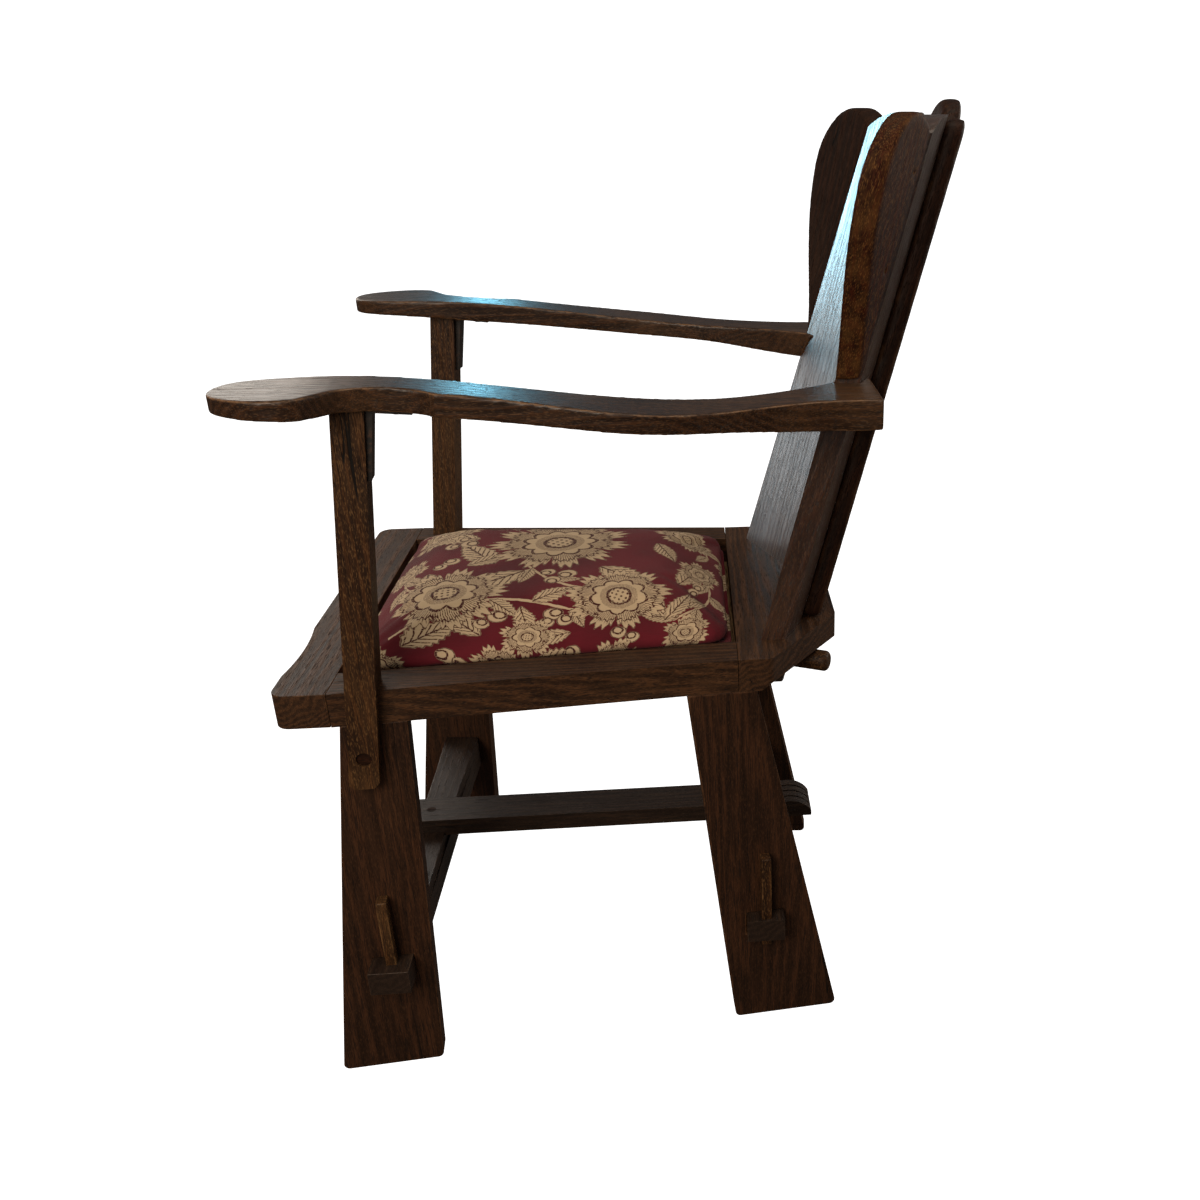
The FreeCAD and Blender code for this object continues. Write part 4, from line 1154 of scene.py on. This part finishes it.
def layPrint(tree, place, pattern):
    fill, line = calc(tree, "MULTIPLY", 0.0, 1.0), 0.0

    def lay(group, x, y, turn, size, inputs=None):
        nonlocal fill, line
        # a ten-millionth of the last mark keeps the marks in order, which the renderer's memory needs
        after = vectorCalc(tree, "MULTIPLY_ADD", fill, (1e-7, 1e-7, 0), place)
        seat = {"Vector": after, "Location": (x, y, 0), "Rotation": (0, 0, turn)}
        seat["Scale"] = (size, size, size)
        local = addNode(tree, "Mapping", seat, vector_type="TEXTURE").outputs[0]
        flat = stretched(tree, local, (1, 1, 0))
        marks = useGroup(tree, group, {"Vector": flat, **(inputs or {})})
        fill = calc(tree, "MAXIMUM", fill, marks["Fill"])
        drawn = marks["Line"] if "Line" in marks else 0.0
        line = calc(tree, "MULTIPLY_ADD", calc(tree, "SUBTRACT", drawn, line), marks["Fill"], line)

    stemGroup, leafGroup = buildStemGroup(), buildLeafGroup(leafShape)
    for stem in pattern["stems"]:
        x, y, turn, length, bend = stem
        lay(stemGroup, x, y, turn, length, {"Bend": bend, "Thickness": pattern["stemThickness"] / length})
        for count, share in enumerate(pattern["leafPlaces"]):
            leafX, leafY, heading = stemPoint(stem, share)
            lean = pattern["leafLean"] if count % 2 else -pattern["leafLean"]
            size = pattern["leafLength"] * random.uniform(*pattern["leafSizes"])
            lay(leafGroup, leafX, leafY, heading + lean, size)
    for x, y, turn, length in pattern["fronds"]:
        lay(leafGroup, x, y, turn, length)
    berryGroup, blossomGroup = buildBerryGroup(berryShape), buildBlossomGroup(blossomShape)
    for x, y, radius in pattern["berries"]:
        lay(berryGroup, x, y, x * pattern["berryTurn"], radius)
    for x, y, radius, petals, turn in pattern["blossoms"]:
        lay(blossomGroup, x, y, turn, radius, {"Petals": petals})
    return fill, line


def overSides(tree, place, crown):
    low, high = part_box("pad_cushion")
    middle = (low + high) / 2
    outwards = vectorCalc(tree, "SUBTRACT", place, tuple(middle))
    outwards = vectorCalc(tree, "NORMALIZE", stretched(tree, outwards, (1, 1, 0)))
    height = axes(tree, place)[2]
    drop = calc(tree, "MAXIMUM", calc(tree, "SUBTRACT", high.z - crown, height), 0.0)
    return vectorCalc(tree, "ADD", place, resized(tree, outwards, drop))


clothSurface = {
    "wobble": 0.0022,  # how far the drawn lines stray, in metres
    "wobbleNoise": (160.0, 2.0),  # noises: scale, detail
    "inkNoise": (700.0, 2.0),
    "inkFade": (0.30, 0.46),
    "cloudNoise": (14.0, 3.0),
    "cloudFade": (0.35, 0.7),
    "creamCover": 0.94,
    "threads": 7400.0,  # radians per metre
    "slub": ((900, 60, 60), 2.0),  # noise: stretch, detail
    "threadShade": (0.22, 0.86),
    "roughness": 0.86,
    "shine": 0.25,
    "sheen": 0.08,
    "sheenRoughness": 0.5,
    "bump": (0.35, 0.0004),  # strength, and distance in metres
}


def strayed(tree, place, look):
    scale, detail = look["wobbleNoise"]
    wobble = addNode(tree, "TexNoise", {"Vector": place, "Scale": scale, "Detail": detail})
    wobble = vectorCalc(tree, "SUBTRACT", wobble.outputs["Color"], (0.5, 0.5, 0.5))
    return vectorCalc(tree, "ADD", place, resized(tree, wobble, look["wobble"]))


def clothMaterial(pattern, look):
    material, tree, surface = newMaterial("printedCloth")
    place = addNode(tree, "TexCoord").outputs["Object"]
    drawn = overSides(tree, strayed(tree, place, look), pattern["crown"])
    fill, line = layPrint(tree, drawn, pattern)
    worn = fade(tree, noiseValue(tree, place, *look["inkNoise"]), *look["inkFade"])
    inkWeight = calc(tree, "MULTIPLY", line, worn)
    cloud = fade(tree, noiseValue(tree, place, *look["cloudNoise"]), *look["cloudFade"])
    ground = mixColour(tree, cloud, pattern["ground"], pattern["shade"])
    cover = calc(tree, "MULTIPLY", fill, look["creamCover"])
    colour = mixColour(tree, cover, ground, pattern["cream"])
    colour = mixColour(tree, calc(tree, "MULTIPLY", inkWeight, fill), colour, pattern["ink"])
    crossed = crossedWaves(tree, axes(tree, place), look["threads"])
    slub = stretchedNoise(tree, place, *look["slub"])
    weave = calc(tree, "MULTIPLY_ADD", crossed, 0.5, slub)
    shade = calc(tree, "MULTIPLY_ADD", weave, *look["threadShade"])
    shade = addNode(tree, "CombineColor", {0: shade, 1: shade, 2: shade}).outputs[0]
    feed(tree, surface.inputs["Base Color"], mixColour(tree, 1.0, colour, shade, "MULTIPLY"))
    finish = {"Roughness": look["roughness"], "Specular IOR Level": look["shine"]}
    sheen = {"Sheen Weight": look["sheen"], "Sheen Roughness": look["sheenRoughness"]}
    setSockets(surface, {**finish, **sheen})
    addBump(tree, surface, *look["bump"], weave)
    return material


juteWeb = {
    "dark": (0.16, 0.11, 0.06, 1),
    "pale": (0.42, 0.33, 0.2, 1),
    "threads": 2600.0,  # radians per metre
    "roughness": 0.9,
    "bump": (0.6, 0.0008),  # strength, and distance in metres
}


def webMaterial(look):
    material, tree, surface = newMaterial("juteWeb")
    place = addNode(tree, "TexCoord").outputs["Object"]
    crossed = crossedWaves(tree, axes(tree, place), look["threads"])
    weave = calc(tree, "MULTIPLY_ADD", crossed, 0.5, 0.5)
    feed(tree, surface.inputs["Base Color"], mixColour(tree, weave, look["dark"], look["pale"]))
    setSockets(surface, {"Roughness": look["roughness"]})
    addBump(tree, surface, *look["bump"], weave)
    return material


padRails = {  # node: (name, grain); the cloth is drawn down over their tops and outer sides
    "pad_rail_front": ("padRailFront", "x"),
    "pad_rail_rear": ("padRailRear", "x"),
    "pad_rail_left": ("padRailLeft", "y"),
    "pad_rail_right": ("padRailRight", "y"),
}
railCover = {
    "edge": 0.0012,  # metres
    "top": 0.5,  # the cloth takes faces that look up more than this,
    "level": 0.9,  # and those that look up or down less than this
    "outward": 0.04,  # and away from the pad's middle, in metres
}


def dressPadRails(pieces, cover, cloth):
    low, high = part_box("pad_cushion")
    middle = (low + high) / 2
    for nodeName, (name, grain) in pieces.items():
        piece = startPiece(name, nodeName)
        easeEdges(piece, cover["edge"], oakMaterial("plainOak", grain))
        piece.data.materials.append(cloth)
        for face in piece.data.polygons:
            outwards = face.normal.dot((face.center - middle) * Vector((1, 1, 0)))
            isSide = abs(face.normal.z) < cover["level"] and outwards > cover["outward"]
            if face.normal.z > cover["top"] or isSide:
                face.material_index = 1
        finishPiece(piece, nodeName)


printedCloth = clothMaterial(clothPrint, clothSurface)
buildCushion(cushionShape, printedCloth)
dressPadRails(padRails, railCover, printedCloth)
dressNode("pad_webbing", webMaterial(juteWeb))
print("seat pad ready")

limitPanes(studio["reaches"])
